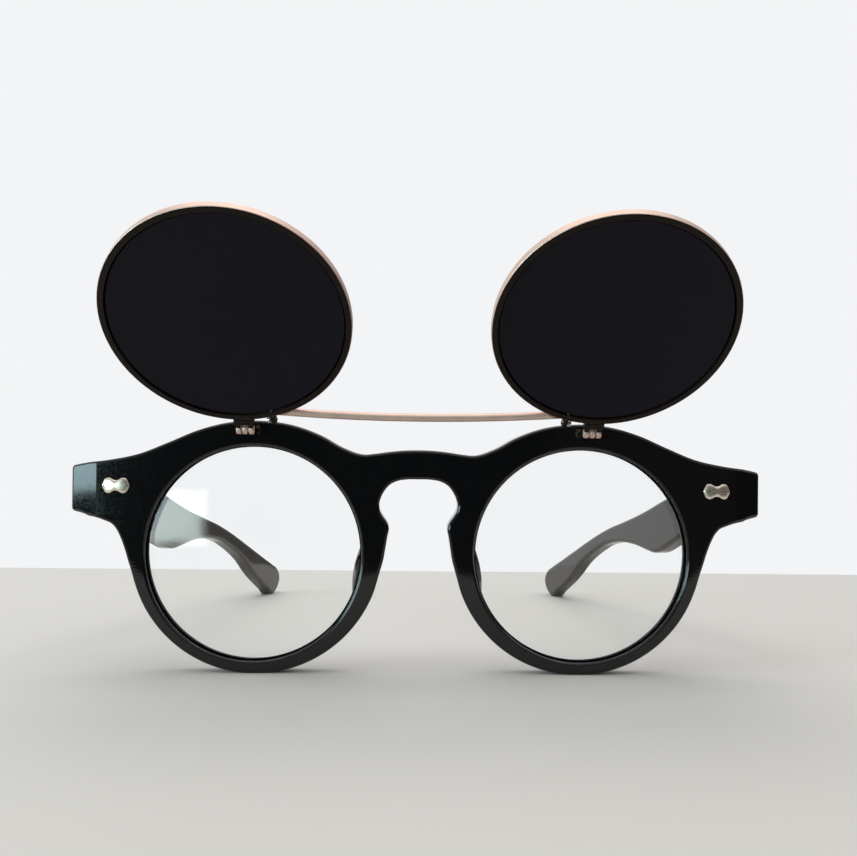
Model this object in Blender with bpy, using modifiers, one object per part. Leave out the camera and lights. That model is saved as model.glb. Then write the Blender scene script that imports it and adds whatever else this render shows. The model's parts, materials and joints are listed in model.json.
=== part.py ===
"""Round acetate glasses with a flip-up pair of metal-rimmed sun lenses.

The front faces -Y, +Z is up, and left and right are the wearer's own sides,
so left is +X. The front stands on the lowest point of its two rings, leans
forward a little, and the temples run back and down to their tips. The sun
lenses are swung up, as far as their hinges let them go.

Everything on the front is drawn in the front's own frame: X across, Y back
from the front face, Z up the face from the rings' lowest point.
"""

import math

import bmesh
import bpy
from mathutils import Matrix, Vector

# Acetate front
EYE_RADIUS = 0.0220
EYE_GAP = 0.0231
RIM_BELOW = 0.0025
RIM_OUTSIDE = 0.00315
RIM_INSIDE = 0.00425
RIM_ABOVE = 0.0051
FRONT_THICKNESS = 0.0050
FRONT_EDGE_ROUND = 0.0006
FRONT_LEAN = math.radians(3.0)
END_REACH = 0.0129
END_BELOW_BROW = 0.0095
END_HEIGHT = 0.0096
END_DEPTH = 0.0083
END_CORNER = 0.0009
FACET_WIDTH = 0.0061
FACET_SETBACK = 0.0030
BRIDGE_BELOW_BROW = 0.0057
BRIDGE_CROWN = 0.0010
BRIDGE_HALF_CROWN = 0.0113
BRIDGE_HEIGHT = 0.0060
KEYHOLE_HALF_WIDTH = 0.00805
KEYHOLE_HEIGHT = 0.00975
NECK_HALF_WIDTH = 0.0060
FOOT_FLAT_DEPTH = 0.00015

# Lens seats in the acetate, and the clear lenses
GROOVE_DEPTH = 0.0009
GROOVE_WIDTH = 0.0014
GROOVE_FROM_FACE = 0.0022
LENS_THICKNESS = 0.0018
LENS_DOME = 0.0018

# Nose pads
PAD_HALF_THICKNESS = 0.0021
PAD_HALF_DEPTH = 0.0046
PAD_HALF_LENGTH = 0.0084
PAD_BELOW_EYE = 0.0031
PAD_INSIDE_EYE = 0.0013
PAD_FROM_REAR = 0.0006
PAD_SPLAY = math.radians(34.0)
PAD_TILT = math.radians(14.0)

# Decorative plates on the end pieces
PLAQUE_FROM_END = 0.0102
PLAQUE_BELOW_TOP = 0.0040
PLAQUE_LENGTH = 0.0055
PLAQUE_HEIGHT = 0.0032
PLAQUE_THICKNESS = 0.0009
PLAQUE_SUNK = 0.0004
PLAQUE_EDGE_ROUND = 0.0002
PLAQUE_PIN_RADIUS = 0.0005
PLAQUE_PIN_LENGTH = 0.0022
PLAQUE_PIN_SPACING = 0.0030

# Temple hinges: three knuckles on a screw
KNUCKLE_RADIUS = 0.0018
KNUCKLE_HEIGHT = 0.0022
HINGE_BORE_RADIUS = 0.0009
HINGE_BELOW_TOP = 0.0052
LEAF_THICKNESS = 0.0008
LEAF_HEIGHT = 0.0060
LEAF_PROUD = 0.0005
FRONT_LEAF_LENGTH = 0.0066
TEMPLE_LEAF_LENGTH = 0.0095
LEAF_OVERLAP = 0.0002
LEAF_WEB = 0.0008
ANCHOR_DEPTH = 0.0010
ANCHOR_LENGTH = 0.0024
ANCHOR_HEIGHT = 0.0026
SCREW_HEAD_RADIUS = 0.0015
SCREW_HEAD_HEIGHT = 0.0006
SCREW_SLOT_WIDTH = 0.0004
SCREW_SLOT_DEPTH = 0.0003

# Temples
TEMPLE_THICKNESS = 0.0040
TEMPLE_REACH = 0.1228
TEMPLE_INWARD = 0.0206
TEMPLE_BEND_POWER = 1.35
TEMPLE_EDGE_ROUND = 0.0007
TEMPLE_TOP_BELOW_END = 0.0001
TEMPLE_FLAT_DEPTH = 0.0001
CORE_RADIUS = 0.0007
CORE_START = 0.0090

# Flip hinges on the front
FLIP_HINGE_OUTSIDE_EYE = 0.00125
FLIP_AXIS_BELOW_BROW = 0.0018
FLIP_AXIS_FROM_FACE = 0.0036
FLIP_UP_ANGLE = math.radians(139.4)
FLIP_KNUCKLE_RADIUS = 0.0010
FLIP_KNUCKLE_WIDTH = 0.00095
FLIP_BORE_RADIUS = 0.00064
FLIP_PLATE_HALF_WIDTH = 0.0014
FLIP_PLATE_ABOVE = 0.0008
FLIP_PLATE_BELOW = 0.0012
FLIP_PLATE_THICKNESS = 0.0007
FLIP_LUG_HALF_HEIGHT = 0.0007
FLIP_POST_RADIUS = 0.0008
FLIP_POST_DEPTH = 0.0030
FLIP_POST_DROP = 0.0002
FLIP_STRAP_DROP = 0.00150
FLIP_SADDLE_HALF_WIDTH = 0.0020
FLIP_SADDLE_HALF_DEPTH = 0.0007

# Sun lenses and their rims
SUN_RIM_OVER_EYE = 0.0007
SUN_RIM_WALL = 0.0012
SUN_RIM_DEPTH = 0.0018
SUN_RIM_CHAMFER = 0.00025
SUN_GROOVE_DEPTH = 0.00075
SUN_GROOVE_WIDTH = 0.0010
SUN_OUTSIDE_EYE = 0.00175
SUN_RIM_BELOW_AXIS = 0.0030
SUN_LENS_THICKNESS = 0.0009
SUN_LENS_DOME = 0.0008
RIM_SLIT = 0.0003

# Bar between the sun rims
BAR_RADIUS = 0.0008
BAR_BELOW_AXIS = 0.0035
BAR_BOW = 0.0014
BAR_END_FROM_RIM_CENTRE = 0.0057

# Rim locks, which close each sun rim on its lens
LOCK_FROM_RIM_CENTRE = 0.0061
LOCK_LENGTH = 0.0010
LOCK_RADIAL = 0.0016
LOCK_DEPTH = 0.0015
LOCK_BORE_RADIUS = 0.00052
LOCK_SCREW_RADIUS = 0.00022
LOCK_HEAD_RADIUS = 0.0006
LOCK_HEAD_HEIGHT = 0.0004

# Clearances and fineness
GAP = 0.0003
OVERRUN = 0.0010
LENS_STEPS = 48
ROUND_SIDES = 20
SMALL_SIDES = 14
OUTLINE_STEPS = 2
ARC_POINTS = 14
CORNER_POINTS = 4
EDGE_STEPS = 1
WIRE_STEPS = 2
BAR_POINTS = 13
PAD_SEGMENTS = 16
PAD_RINGS = 10
MERGE = 0.000001
SHARP_ANGLE = math.radians(35.0)
FLAT_ANGLE = math.radians(0.5)
UPRIGHT = Matrix.Rotation(math.radians(90.0), 4, "X")

# Derived places in the front's frame
EYE_X = EYE_GAP / 2 + EYE_RADIUS
EYE_Z = RIM_BELOW + EYE_RADIUS
RING_X = EYE_X + (RIM_OUTSIDE - RIM_INSIDE) / 2
RING_RADIUS = EYE_RADIUS + (RIM_OUTSIDE + RIM_INSIDE) / 2
RING_Z = RING_RADIUS
BROW_TOP = EYE_Z + EYE_RADIUS + RIM_ABOVE
FRONT_HALF_WIDTH = RING_X + RING_RADIUS + END_REACH
END_TOP = BROW_TOP - END_BELOW_BROW
END_BOTTOM = END_TOP - END_HEIGHT
BRIDGE_TOP = BROW_TOP - BRIDGE_BELOW_BROW
KEYHOLE_TOP = BRIDGE_TOP - BRIDGE_HEIGHT
NECK_Z = KEYHOLE_TOP - KEYHOLE_HEIGHT
PAD_FROM_CENTRE = EYE_GAP / 2 - PAD_INSIDE_EYE
PAD_CENTRE_HEIGHT = EYE_Z - PAD_BELOW_EYE
PLAQUE_FROM_CENTRE = FRONT_HALF_WIDTH - PLAQUE_FROM_END
PLAQUE_HEIGHT_UP = END_TOP - PLAQUE_BELOW_TOP
HINGE_MIDDLE_HEIGHT = END_TOP - HINGE_BELOW_TOP
TEMPLE_INNER_X = FRONT_HALF_WIDTH - TEMPLE_THICKNESS
BUTT_Y = END_DEPTH + GAP
HINGE_X = TEMPLE_INNER_X - LEAF_PROUD + LEAF_OVERLAP + GAP / 2 - KNUCKLE_RADIUS
HINGE_Y = FRONT_THICKNESS + GAP + KNUCKLE_RADIUS
STEP_START_X = HINGE_X + KNUCKLE_RADIUS + GAP
STEP_END_X = STEP_START_X + GAP
TEMPLE_TOP = END_TOP - TEMPLE_TOP_BELOW_END
FLIP_HINGE_FROM_CENTRE = EYE_X + FLIP_HINGE_OUTSIDE_EYE
FLIP_AXIS_HEIGHT = BROW_TOP - FLIP_AXIS_BELOW_BROW
SUN_RIM_RADIUS = EYE_RADIUS + SUN_RIM_OVER_EYE
SUN_FROM_CENTRE = EYE_X + SUN_OUTSIDE_EYE
SIDES = (("left", 1), ("right", -1))

# The outline's free stretches, as shares of the sizes that they follow.
# Bridge crown: share of the half crown's width, share of the crown's rise.
CROWN_SHARES = ((0.0, 1.0), (0.27, 0.91), (0.53, 0.62), (0.79, 0.2), (1.0, 0.0))
# Brow from the crown's end to the ring's top: shares of the run and of the rise.
INNER_BROW_SHARES = ((0.19, 0.19), (0.4, 0.56), (0.68, 0.88), (1.0, 1.0))
# Brow from the ring's top to the end piece: shares of the run and of the fall.
OUTER_BROW_SHARES = (
    (0.158, 0.047), (0.316, 0.22), (0.474, 0.495), (0.63, 0.747), (0.79, 0.884), (0.93, 0.96),
)
# Under the end piece, back to the ring: shares of the run and of the rise from the ring's middle.
END_UNDER_SHARES = (
    (0.83, 0.965), (0.667, 0.889), (0.512, 0.84), (0.4, 0.765), (0.293, 0.675), (0.22, 0.528),
    (0.154, 0.292), (0.081, -0.069), (0.02, -0.444), (-0.033, -0.75),
)
# Nasal side from the ring up to the neck: shares of the run inwards and of the height.
NASAL_SHARES = ((0.6, 0.27), (0.37, 0.53), (0.14, 0.8), (0.0, 0.94))
# Keyhole: shares of its half width and of its height above the neck.
KEYHOLE_SHARES = (
    (0.765, 0.04), (0.815, 0.12), (0.894, 0.21), (0.97, 0.32), (1.0, 0.45), (0.963, 0.595),
    (0.87, 0.75), (0.733, 0.882), (0.547, 0.96), (0.31, 0.995), (0.0, 1.0),
)
RING_SIDE_TURN = math.radians(-17.0)
RING_NASAL_TURN = math.radians(-169.0)
# Temple, side view: shares of its reach and of its drop, from the top of its front end.
TEMPLE_TOP_SHARES = (
    (0.0, 0.0), (0.02, 0.012), (0.15, 0.088), (0.295, 0.179), (0.383, 0.256), (0.447, 0.308),
    (0.511, 0.356), (0.58, 0.406), (0.651, 0.469), (0.726, 0.545), (0.805, 0.63), (0.887, 0.719),
    (0.943, 0.78), (0.983, 0.83), (0.997, 0.869), (1.0, 0.911),
)
TEMPLE_BOTTOM_SHARES = (
    (0.989, 0.958), (0.97, 0.988), (0.948, 1.0), (0.914, 0.95), (0.88, 0.902), (0.839, 0.843),
    (0.799, 0.776), (0.76, 0.703), (0.722, 0.646), (0.685, 0.6), (0.649, 0.56), (0.614, 0.525),
    (0.58, 0.502), (0.546, 0.485), (0.509, 0.474), (0.443, 0.469), (0.38, 0.479), (0.349, 0.481),
    (0.32, 0.465), (0.286, 0.43), (0.25, 0.388), (0.21, 0.343), (0.162, 0.292), (0.106, 0.245), (0.0, 0.185),
)
TEMPLE_LOWEST_SHARE = 0.948
# Core wire, which runs halfway up the temple: shares of the temple's reach.
CORE_SHARES = (0.0, 0.08, 0.16, 0.25, 0.35, 0.45, 0.55, 0.63, 0.71, 0.78, 0.84)
# Lens: stations across a face, as shares of its radius.
LENS_SHARES = (0.0, 0.3, 0.6, 0.82, 1.0)
TEMPLE_CUT_SHARES = (0.08, 0.16, 0.24, 0.32, 0.4, 0.48, 0.56, 0.64, 0.72, 0.8, 0.87, 0.93)
# Plaque: shares of its half length and of its half height, a quarter of the outline.
PLAQUE_SHARES = (
    (1.0, 0.0), (0.91, 0.42), (0.77, 0.85), (0.58, 1.0), (0.37, 0.93), (0.18, 0.74), (0.0, 0.68),
)


def clear_scene():
    """Remove whatever the file holds."""
    for item in list(bpy.data.objects):
        bpy.data.objects.remove(item, do_unlink=True)


def new_collection(name):
    """Link an empty collection to the scene."""
    group = bpy.data.collections.new(name)
    bpy.context.scene.collection.children.link(group)
    return group


def new_material(name, colour, roughness, metallic, alpha=1.0):
    """A Principled material in one colour."""
    material = bpy.data.materials.new(name)
    material.use_nodes = True
    shader = material.node_tree.nodes["Principled BSDF"]
    shader.inputs["Base Color"].default_value = (*colour, 1.0)
    shader.inputs["Roughness"].default_value = roughness
    shader.inputs["Metallic"].default_value = metallic
    shader.inputs["Alpha"].default_value = alpha
    return material


def new_empty(name, parent, location, turn=0.0):
    """An empty turned about X, the frame of the pieces under it."""
    empty = bpy.data.objects.new(name, None)
    PARTS.objects.link(empty)
    empty.parent = parent
    empty.location = location
    empty.rotation_euler = (turn, 0.0, 0.0)
    return empty


def add_piece(name, mesh, material, parent):
    """Name a mesh as one piece of the glasses."""
    piece = bpy.data.objects.new(name, mesh)
    mesh.name = name
    mesh.materials.clear()
    mesh.materials.append(material)
    PARTS.objects.link(piece)
    piece.parent = parent
    mesh.shade_smooth()
    mesh.set_sharp_from_angle(angle=SHARP_ANGLE)
    return piece


def add_cutter(name, mesh, parent):
    """A shape that is only cut away from, or joined to, others."""
    cutter = bpy.data.objects.new(name, mesh)
    CUTTERS.objects.link(cutter)
    cutter.parent = parent
    cutter.display_type = "WIRE"
    cutter.hide_render = True
    return cutter


def combine(piece, other, operation):
    """Put a Boolean modifier on the piece."""
    modifier = piece.modifiers.new(other.name, "BOOLEAN")
    modifier.operation = operation
    modifier.solver = "EXACT"
    modifier.object = other


def mesh_from(bm, name):
    """Turn a bmesh into a mesh with its faces pointing out."""
    bmesh.ops.recalc_face_normals(bm, faces=bm.faces)
    mesh = bpy.data.meshes.new(name)
    bm.to_mesh(mesh)
    bm.free()
    return mesh


def evaluated_mesh(obj, name):
    """The object's shape with its modifiers or curve settings worked in; the object goes."""
    graph = bpy.context.evaluated_depsgraph_get()
    mesh = bpy.data.meshes.new_from_object(obj.evaluated_get(graph))
    mesh.transform(obj.matrix_world)
    data = obj.data
    bpy.data.objects.remove(obj, do_unlink=True)
    if isinstance(data, bpy.types.Curve):
        bpy.data.curves.remove(data)
    bm = bmesh.new()
    bm.from_mesh(mesh)
    bpy.data.meshes.remove(mesh)
    bmesh.ops.remove_doubles(bm, verts=bm.verts, dist=MERGE)
    return mesh_from(bm, name)


def sided(mesh, sign):
    """A mesh drawn for the left side, as it is or mirrored to the right."""
    bm = bmesh.new()
    bm.from_mesh(mesh)
    bmesh.ops.scale(bm, vec=(sign, 1.0, 1.0), verts=bm.verts)
    return mesh_from(bm, mesh.name)


def box_mesh(name, low, high):
    """A box between two corners."""
    low = Vector(low)
    high = Vector(high)
    bm = bmesh.new()
    bmesh.ops.create_cube(bm, size=1.0)
    bmesh.ops.scale(bm, vec=high - low, verts=bm.verts)
    bmesh.ops.translate(bm, vec=(low + high) / 2, verts=bm.verts)
    return mesh_from(bm, name)


def rod_mesh(name, radius, start, end, sides):
    """A cylinder from one point to another."""
    start = Vector(start)
    end = Vector(end)
    bm = bmesh.new()
    bmesh.ops.create_cone(
        bm, cap_ends=True, segments=sides, radius1=radius, radius2=radius, depth=(end - start).length,
    )
    turn = Vector((0.0, 0.0, 1.0)).rotation_difference(end - start).to_matrix()
    bmesh.ops.rotate(bm, cent=(0.0, 0.0, 0.0), matrix=turn, verts=bm.verts)
    bmesh.ops.translate(bm, vec=(start + end) / 2, verts=bm.verts)
    return mesh_from(bm, name)


def turned_mesh(name, profile, closed, centre):
    """Turn a profile of radius and depth pairs about an axis along Y through the centre."""
    count = len(profile)
    edges = [(index, index + 1) for index in range(count - 1)]
    if closed:
        edges.append((count - 1, 0))
    mesh = bpy.data.meshes.new(name)
    mesh.from_pydata([(radius, 0.0, -depth) for radius, depth in profile], edges, [])
    turned = bpy.data.objects.new(name, mesh)
    CUTTERS.objects.link(turned)
    screw = turned.modifiers.new("Turn", "SCREW")
    screw.axis = "Z"
    screw.angle = math.tau
    screw.steps = LENS_STEPS
    screw.render_steps = LENS_STEPS
    screw.use_merge_vertices = True
    screw.merge_threshold = MERGE
    turned.matrix_world = Matrix.Translation(centre) @ UPRIGHT
    bpy.context.view_layer.update()
    return evaluated_mesh(turned, name)


def plate_mesh(name, outline, thickness, edge_round, edge_steps):
    """A flat plate with rounded edges, its outline in X and Z and its front face at Y zero."""
    curve = bpy.data.curves.new(name, "CURVE")
    curve.dimensions = "2D"
    curve.fill_mode = "BOTH"
    curve.extrude = thickness / 2 - edge_round
    curve.bevel_depth = edge_round
    curve.bevel_resolution = edge_steps
    curve.offset = -edge_round
    spline = curve.splines.new("POLY")
    spline.points.add(len(outline) - 1)
    for point, (x, z) in zip(spline.points, outline):
        point.co = (x, z, 0.0, 1.0)
    spline.use_cyclic_u = True
    flat = bpy.data.objects.new(name, curve)
    CUTTERS.objects.link(flat)
    flat.matrix_world = Matrix.Translation((0.0, thickness / 2, 0.0)) @ UPRIGHT
    bpy.context.view_layer.update()
    return evaluated_mesh(flat, name)


def tube_mesh(name, points, radius):
    """A round wire along a list of points."""
    curve = bpy.data.curves.new(name, "CURVE")
    curve.dimensions = "3D"
    curve.bevel_depth = radius
    curve.bevel_resolution = WIRE_STEPS
    curve.use_fill_caps = True
    spline = curve.splines.new("POLY")
    spline.points.add(len(points) - 1)
    for point, place in zip(spline.points, points):
        point.co = (*place, 1.0)
    wire = bpy.data.objects.new(name, curve)
    CUTTERS.objects.link(wire)
    bpy.context.view_layer.update()
    return evaluated_mesh(wire, name)


def smooth_loop(points, steps):
    """A closed curve through all the points, with some steps between each two."""
    places = [Vector(point) for point in points]
    following = places[1:] + places[:1]
    spans = [(after - here).length for here, after in zip(places, following)]
    slopes = []
    for index, (here, after) in enumerate(zip(places, following)):
        came = (here - places[index - 1]) / spans[index - 1]
        goes = (after - here) / spans[index]
        weight = spans[index - 1] / (spans[index - 1] + spans[index])
        slopes.append(came * (1 - weight) + goes * weight)
    loop = []
    for index, (here, after) in enumerate(zip(places, following)):
        next_slope = slopes[(index + 1) % len(slopes)]
        for step in range(steps):
            t = step / steps
            bend = slopes[index] * t * (1 - t) ** 2 - next_slope * t ** 2 * (1 - t)
            loop.append(here + (after - here) * t ** 2 * (3 - 2 * t) + bend * spans[index])
    return loop


def arc_points(centre_x, centre_z, radius, first, last, count):
    """Points round an arc, both ends included."""
    turns = [first + (last - first) * index / (count - 1) for index in range(count)]
    return [(centre_x + radius * math.cos(turn), centre_z + radius * math.sin(turn)) for turn in turns]


def read_share(shares, place):
    """Straight-line reading of a share table at a place."""
    ordered = sorted(shares)
    for (low, low_value), (high, high_value) in zip(ordered, ordered[1:]):
        if low <= place <= high:
            return low_value + (high_value - low_value) * (place - low) / (high - low)
    return ordered[-1][1]


def front_outline():
    """Half the front's outline from the bridge's top to the keyhole's top, then its mirror image."""
    crown_z = BRIDGE_TOP - BRIDGE_CROWN
    half = [(BRIDGE_HALF_CROWN * run, crown_z + BRIDGE_CROWN * rise) for run, rise in CROWN_SHARES]
    run_in = RING_X - BRIDGE_HALF_CROWN
    rise_in = BROW_TOP - crown_z
    half += [(BRIDGE_HALF_CROWN + run_in * run, crown_z + rise_in * rise) for run, rise in INNER_BROW_SHARES]
    run_out = FRONT_HALF_WIDTH - RING_X
    fall_out = BROW_TOP - END_TOP
    half += [(RING_X + run_out * run, BROW_TOP - fall_out * fall) for run, fall in OUTER_BROW_SHARES]
    corner_x = FRONT_HALF_WIDTH - END_CORNER
    quarter = math.pi / 2
    side_inset = END_CORNER + END_CORNER / CORNER_POINTS
    half += arc_points(corner_x, END_TOP - END_CORNER, END_CORNER, quarter, 0.0, CORNER_POINTS)
    half += [(FRONT_HALF_WIDTH, END_TOP - side_inset), (FRONT_HALF_WIDTH, END_BOTTOM + side_inset)]
    half += arc_points(corner_x, END_BOTTOM + END_CORNER, END_CORNER, 0.0, -quarter, CORNER_POINTS)
    ring_side = RING_X + RING_RADIUS
    run_under = FRONT_HALF_WIDTH - ring_side
    rise_under = END_BOTTOM - RING_Z
    half += [(ring_side + run_under * run, RING_Z + rise_under * rise) for run, rise in END_UNDER_SHARES]
    ring = arc_points(RING_X, RING_Z, RING_RADIUS, RING_SIDE_TURN, RING_NASAL_TURN, ARC_POINTS)
    half += ring
    nasal_x, nasal_z = ring[-1]
    run_nasal = nasal_x - NECK_HALF_WIDTH
    rise_nasal = NECK_Z - nasal_z
    half += [(NECK_HALF_WIDTH + run_nasal * run, nasal_z + rise_nasal * rise) for run, rise in NASAL_SHARES]
    half += [(KEYHOLE_HALF_WIDTH * run, NECK_Z + KEYHOLE_HEIGHT * rise) for run, rise in KEYHOLE_SHARES]
    mirrored = [(-x, z) for x, z in reversed(half[1:-1])]
    return smooth_loop(half + mirrored, OUTLINE_STEPS)


def front_depth(x, share):
    """Depth of a point of the front, its share 0 on the front face and 1 on the rear face."""
    reach = abs(x)
    facet = max(0.0, reach - (FRONT_HALF_WIDTH - FACET_WIDTH)) / FACET_WIDTH
    step = min(1.0, max(0.0, (reach - STEP_START_X) / (STEP_END_X - STEP_START_X)))
    face = FACET_SETBACK * facet
    rear = FRONT_THICKNESS + (END_DEPTH - FRONT_THICKNESS) * step
    return face + (rear - face) * share


def cut_across(bm, place, normal):
    """Cut edges into a mesh where a plane passes."""
    parts = bm.verts[:] + bm.edges[:] + bm.faces[:]
    bmesh.ops.bisect_plane(bm, geom=parts, dist=MERGE, plane_co=place, plane_no=normal)


def shape_front(mesh):
    """Bevel the end pieces' faces back, and thicken them behind where the temples meet them."""
    bm = bmesh.new()
    bm.from_mesh(mesh)
    bmesh.ops.dissolve_limit(
        bm, angle_limit=FLAT_ANGLE, verts=bm.verts, edges=bm.edges, use_dissolve_boundaries=False,
    )
    for x in (FRONT_HALF_WIDTH - FACET_WIDTH, STEP_START_X, STEP_END_X):
        for sign in (-1, 1):
            cut_across(bm, (sign * x, 0.0, 0.0), (1.0, 0.0, 0.0))
    for vert in bm.verts:
        vert.co.y = front_depth(vert.co.x, vert.co.y / FRONT_THICKNESS)
    bmesh.ops.triangulate(bm, faces=bm.faces)
    return mesh_from(bm, mesh.name)


def eye_cutter(sign):
    """What the eye opening removes: a bore with rounded mouths and a groove for the lens."""
    mouth = EYE_RADIUS + FRONT_EDGE_ROUND
    soft = FRONT_EDGE_ROUND * (1 - math.sqrt(0.5))
    rear = FRONT_THICKNESS
    groove_half = GROOVE_WIDTH / 2
    profile = [
        (0.0, -OVERRUN),
        (mouth, -OVERRUN),
        (mouth, 0.0),
        (EYE_RADIUS + soft, soft),
        (EYE_RADIUS, FRONT_EDGE_ROUND),
        (EYE_RADIUS, GROOVE_FROM_FACE - groove_half),
        (EYE_RADIUS + GROOVE_DEPTH, GROOVE_FROM_FACE),
        (EYE_RADIUS, GROOVE_FROM_FACE + groove_half),
        (EYE_RADIUS, rear - FRONT_EDGE_ROUND),
        (EYE_RADIUS + soft, rear - soft),
        (mouth, rear),
        (mouth, rear + OVERRUN),
        (0.0, rear + OVERRUN),
    ]
    return turned_mesh("eye", profile, False, (sign * EYE_X, 0.0, EYE_Z))


def lens_profile(edge_radius, ridge, thickness, dome):
    """A thin domed disc with a ridge round its edge, domed towards the front."""
    half = thickness / 2
    front = [(edge_radius * share, -half - dome * (1 - share ** 2)) for share in LENS_SHARES]
    back = [(edge_radius * share, half - dome * (1 - share ** 2)) for share in LENS_SHARES]
    return front + [(edge_radius + ridge, 0.0)] + back[::-1]


def build_front():
    """The acetate front with everything that is cut into it."""
    plate = plate_mesh("front_frame", front_outline(), FRONT_THICKNESS, FRONT_EDGE_ROUND, EDGE_STEPS)
    frame = add_piece("front_frame", shape_front(plate), ACETATE, FRONT)
    for side, sign in SIDES:
        cuts = {
            "eye": eye_cutter(sign),
            "plaque_seat": sided(plaque_seat(), sign),
            "leaf_seat": sided(front_leaf_seat(), sign),
            "post_seat": sided(post_seat(), sign),
        }
        for index, pin in enumerate(plaque_pins(PLAQUE_PIN_RADIUS + GAP, PLAQUE_PIN_LENGTH + GAP)):
            cuts["plaque_pin_seat_%d" % index] = sided(pin, sign)
        for name, mesh in cuts.items():
            combine(frame, add_cutter(side + "_" + name, mesh, FRONT), "DIFFERENCE")
    reach = FRONT_HALF_WIDTH + OVERRUN
    floor = box_mesh("table", (-reach, -OVERRUN, -2 * OVERRUN), (reach, END_DEPTH + OVERRUN, 0.0))
    combine(frame, add_cutter("table", floor, GLASSES), "DIFFERENCE")
    return frame


def build_lenses():
    """The clear lenses, each in its groove."""
    depth = GROOVE_FROM_FACE
    for side, sign in SIDES:
        profile = lens_profile(EYE_RADIUS - GAP, GROOVE_DEPTH - GAP, LENS_THICKNESS, LENS_DOME)
        place = (sign * EYE_X, depth, EYE_Z)
        add_piece(side + "_lens", turned_mesh("lens", profile, False, place), CLEAR, FRONT)


def build_nose_pads():
    """The pads bonded behind the nasal side of each ring."""
    for side, sign in SIDES:
        bm = bmesh.new()
        bmesh.ops.create_uvsphere(bm, u_segments=PAD_SEGMENTS, v_segments=PAD_RINGS, radius=1.0)
        bmesh.ops.scale(bm, vec=(PAD_HALF_THICKNESS, PAD_HALF_DEPTH, PAD_HALF_LENGTH), verts=bm.verts)
        splay = Matrix.Rotation(-PAD_SPLAY, 3, "Z")
        tilt = Matrix.Rotation(-PAD_TILT, 3, "Y")
        bmesh.ops.rotate(bm, cent=(0.0, 0.0, 0.0), matrix=tilt @ splay, verts=bm.verts)
        centre = (PAD_FROM_CENTRE, FRONT_THICKNESS + PAD_FROM_REAR, PAD_CENTRE_HEIGHT)
        bmesh.ops.translate(bm, vec=centre, verts=bm.verts)
        pad = add_piece(side + "_nose_pad", sided(mesh_from(bm, "pad"), sign), ACETATE, FRONT)
        reach = PAD_HALF_LENGTH + PAD_FROM_CENTRE
        low = (-reach, -reach, 0.0)
        high = (reach + PAD_FROM_CENTRE, FRONT_THICKNESS + GAP, PAD_CENTRE_HEIGHT + reach)
        face = sided(box_mesh("pad_face", low, high), sign)
        combine(pad, add_cutter(side + "_pad_face", face, FRONT), "DIFFERENCE")


def plaque_outline(grow):
    """The plate's outline: two lobes side by side with pointed ends, grown all round."""
    half_length = PLAQUE_LENGTH / 2 + grow
    half_height = PLAQUE_HEIGHT / 2 + grow
    quarter = [(half_length * x, half_height * z) for x, z in PLAQUE_SHARES]
    top = quarter + [(-x, z) for x, z in reversed(quarter[:-1])]
    bottom = [(x, -z) for x, z in reversed(top[1:-1])]
    return [(PLAQUE_FROM_CENTRE + x, PLAQUE_HEIGHT_UP + z) for x, z in top + bottom]


def plaque_pins(radius, length):
    """The two pins behind the plate, from inside it to their ends in the acetate."""
    pins = []
    for step in (-1, 1):
        x = PLAQUE_FROM_CENTRE + step * PLAQUE_PIN_SPACING / 2
        start = (x, PLAQUE_SUNK - GAP - PLAQUE_THICKNESS / 2, PLAQUE_HEIGHT_UP)
        pins.append(rod_mesh("pin", radius, start, (x, PLAQUE_SUNK + length, PLAQUE_HEIGHT_UP), SMALL_SIDES))
    return pins


def plaque_seat():
    """The shallow pocket that the plate lies in."""
    mesh = plate_mesh("plaque_seat", plaque_outline(GAP), PLAQUE_SUNK + OVERRUN, 0.0, 0)
    mesh.transform(Matrix.Translation((0.0, -OVERRUN, 0.0)))
    return mesh


def build_plaques():
    """The small gilt plates on the end pieces."""
    for side, sign in SIDES:
        mesh = plate_mesh("plaque", plaque_outline(0.0), PLAQUE_THICKNESS, PLAQUE_EDGE_ROUND, 0)
        mesh.transform(Matrix.Translation((0.0, PLAQUE_SUNK - GAP - PLAQUE_THICKNESS, 0.0)))
        plaque = add_piece(side + "_front_plaque", sided(mesh, sign), GILT, FRONT)
        for index, pin in enumerate(plaque_pins(PLAQUE_PIN_RADIUS, PLAQUE_PIN_LENGTH)):
            name = "%s_plaque_pin_%d" % (side, index)
            combine(plaque, add_cutter(name, sided(pin, sign), FRONT), "UNION")


def knuckle_levels():
    """Lowest and highest points of the bottom, middle and top knuckles."""
    pitch = KNUCKLE_HEIGHT + GAP
    middles = [HINGE_MIDDLE_HEIGHT + step * pitch for step in (-1, 0, 1)]
    return [(middle - KNUCKLE_HEIGHT / 2, middle + KNUCKLE_HEIGHT / 2) for middle in middles]


def hinge_rod(name, radius, low, high, sides):
    """A rod on the temple hinge's axis, from one height to another."""
    return rod_mesh(name, radius, (HINGE_X, HINGE_Y, low), (HINGE_X, HINGE_Y, high), sides)


def front_leaf_box(grow):
    """Low and high corners of the front leaf's plate in the rear face."""
    rear = FRONT_THICKNESS + LEAF_PROUD
    tail_x = HINGE_X - KNUCKLE_RADIUS - GAP
    tall = LEAF_HEIGHT / 2 + grow
    front = rear - LEAF_THICKNESS - grow
    low = (tail_x - FRONT_LEAF_LENGTH + GAP - grow, front, HINGE_MIDDLE_HEIGHT - tall)
    return low, (tail_x + grow, rear + grow, HINGE_MIDDLE_HEIGHT + tall)


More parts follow.
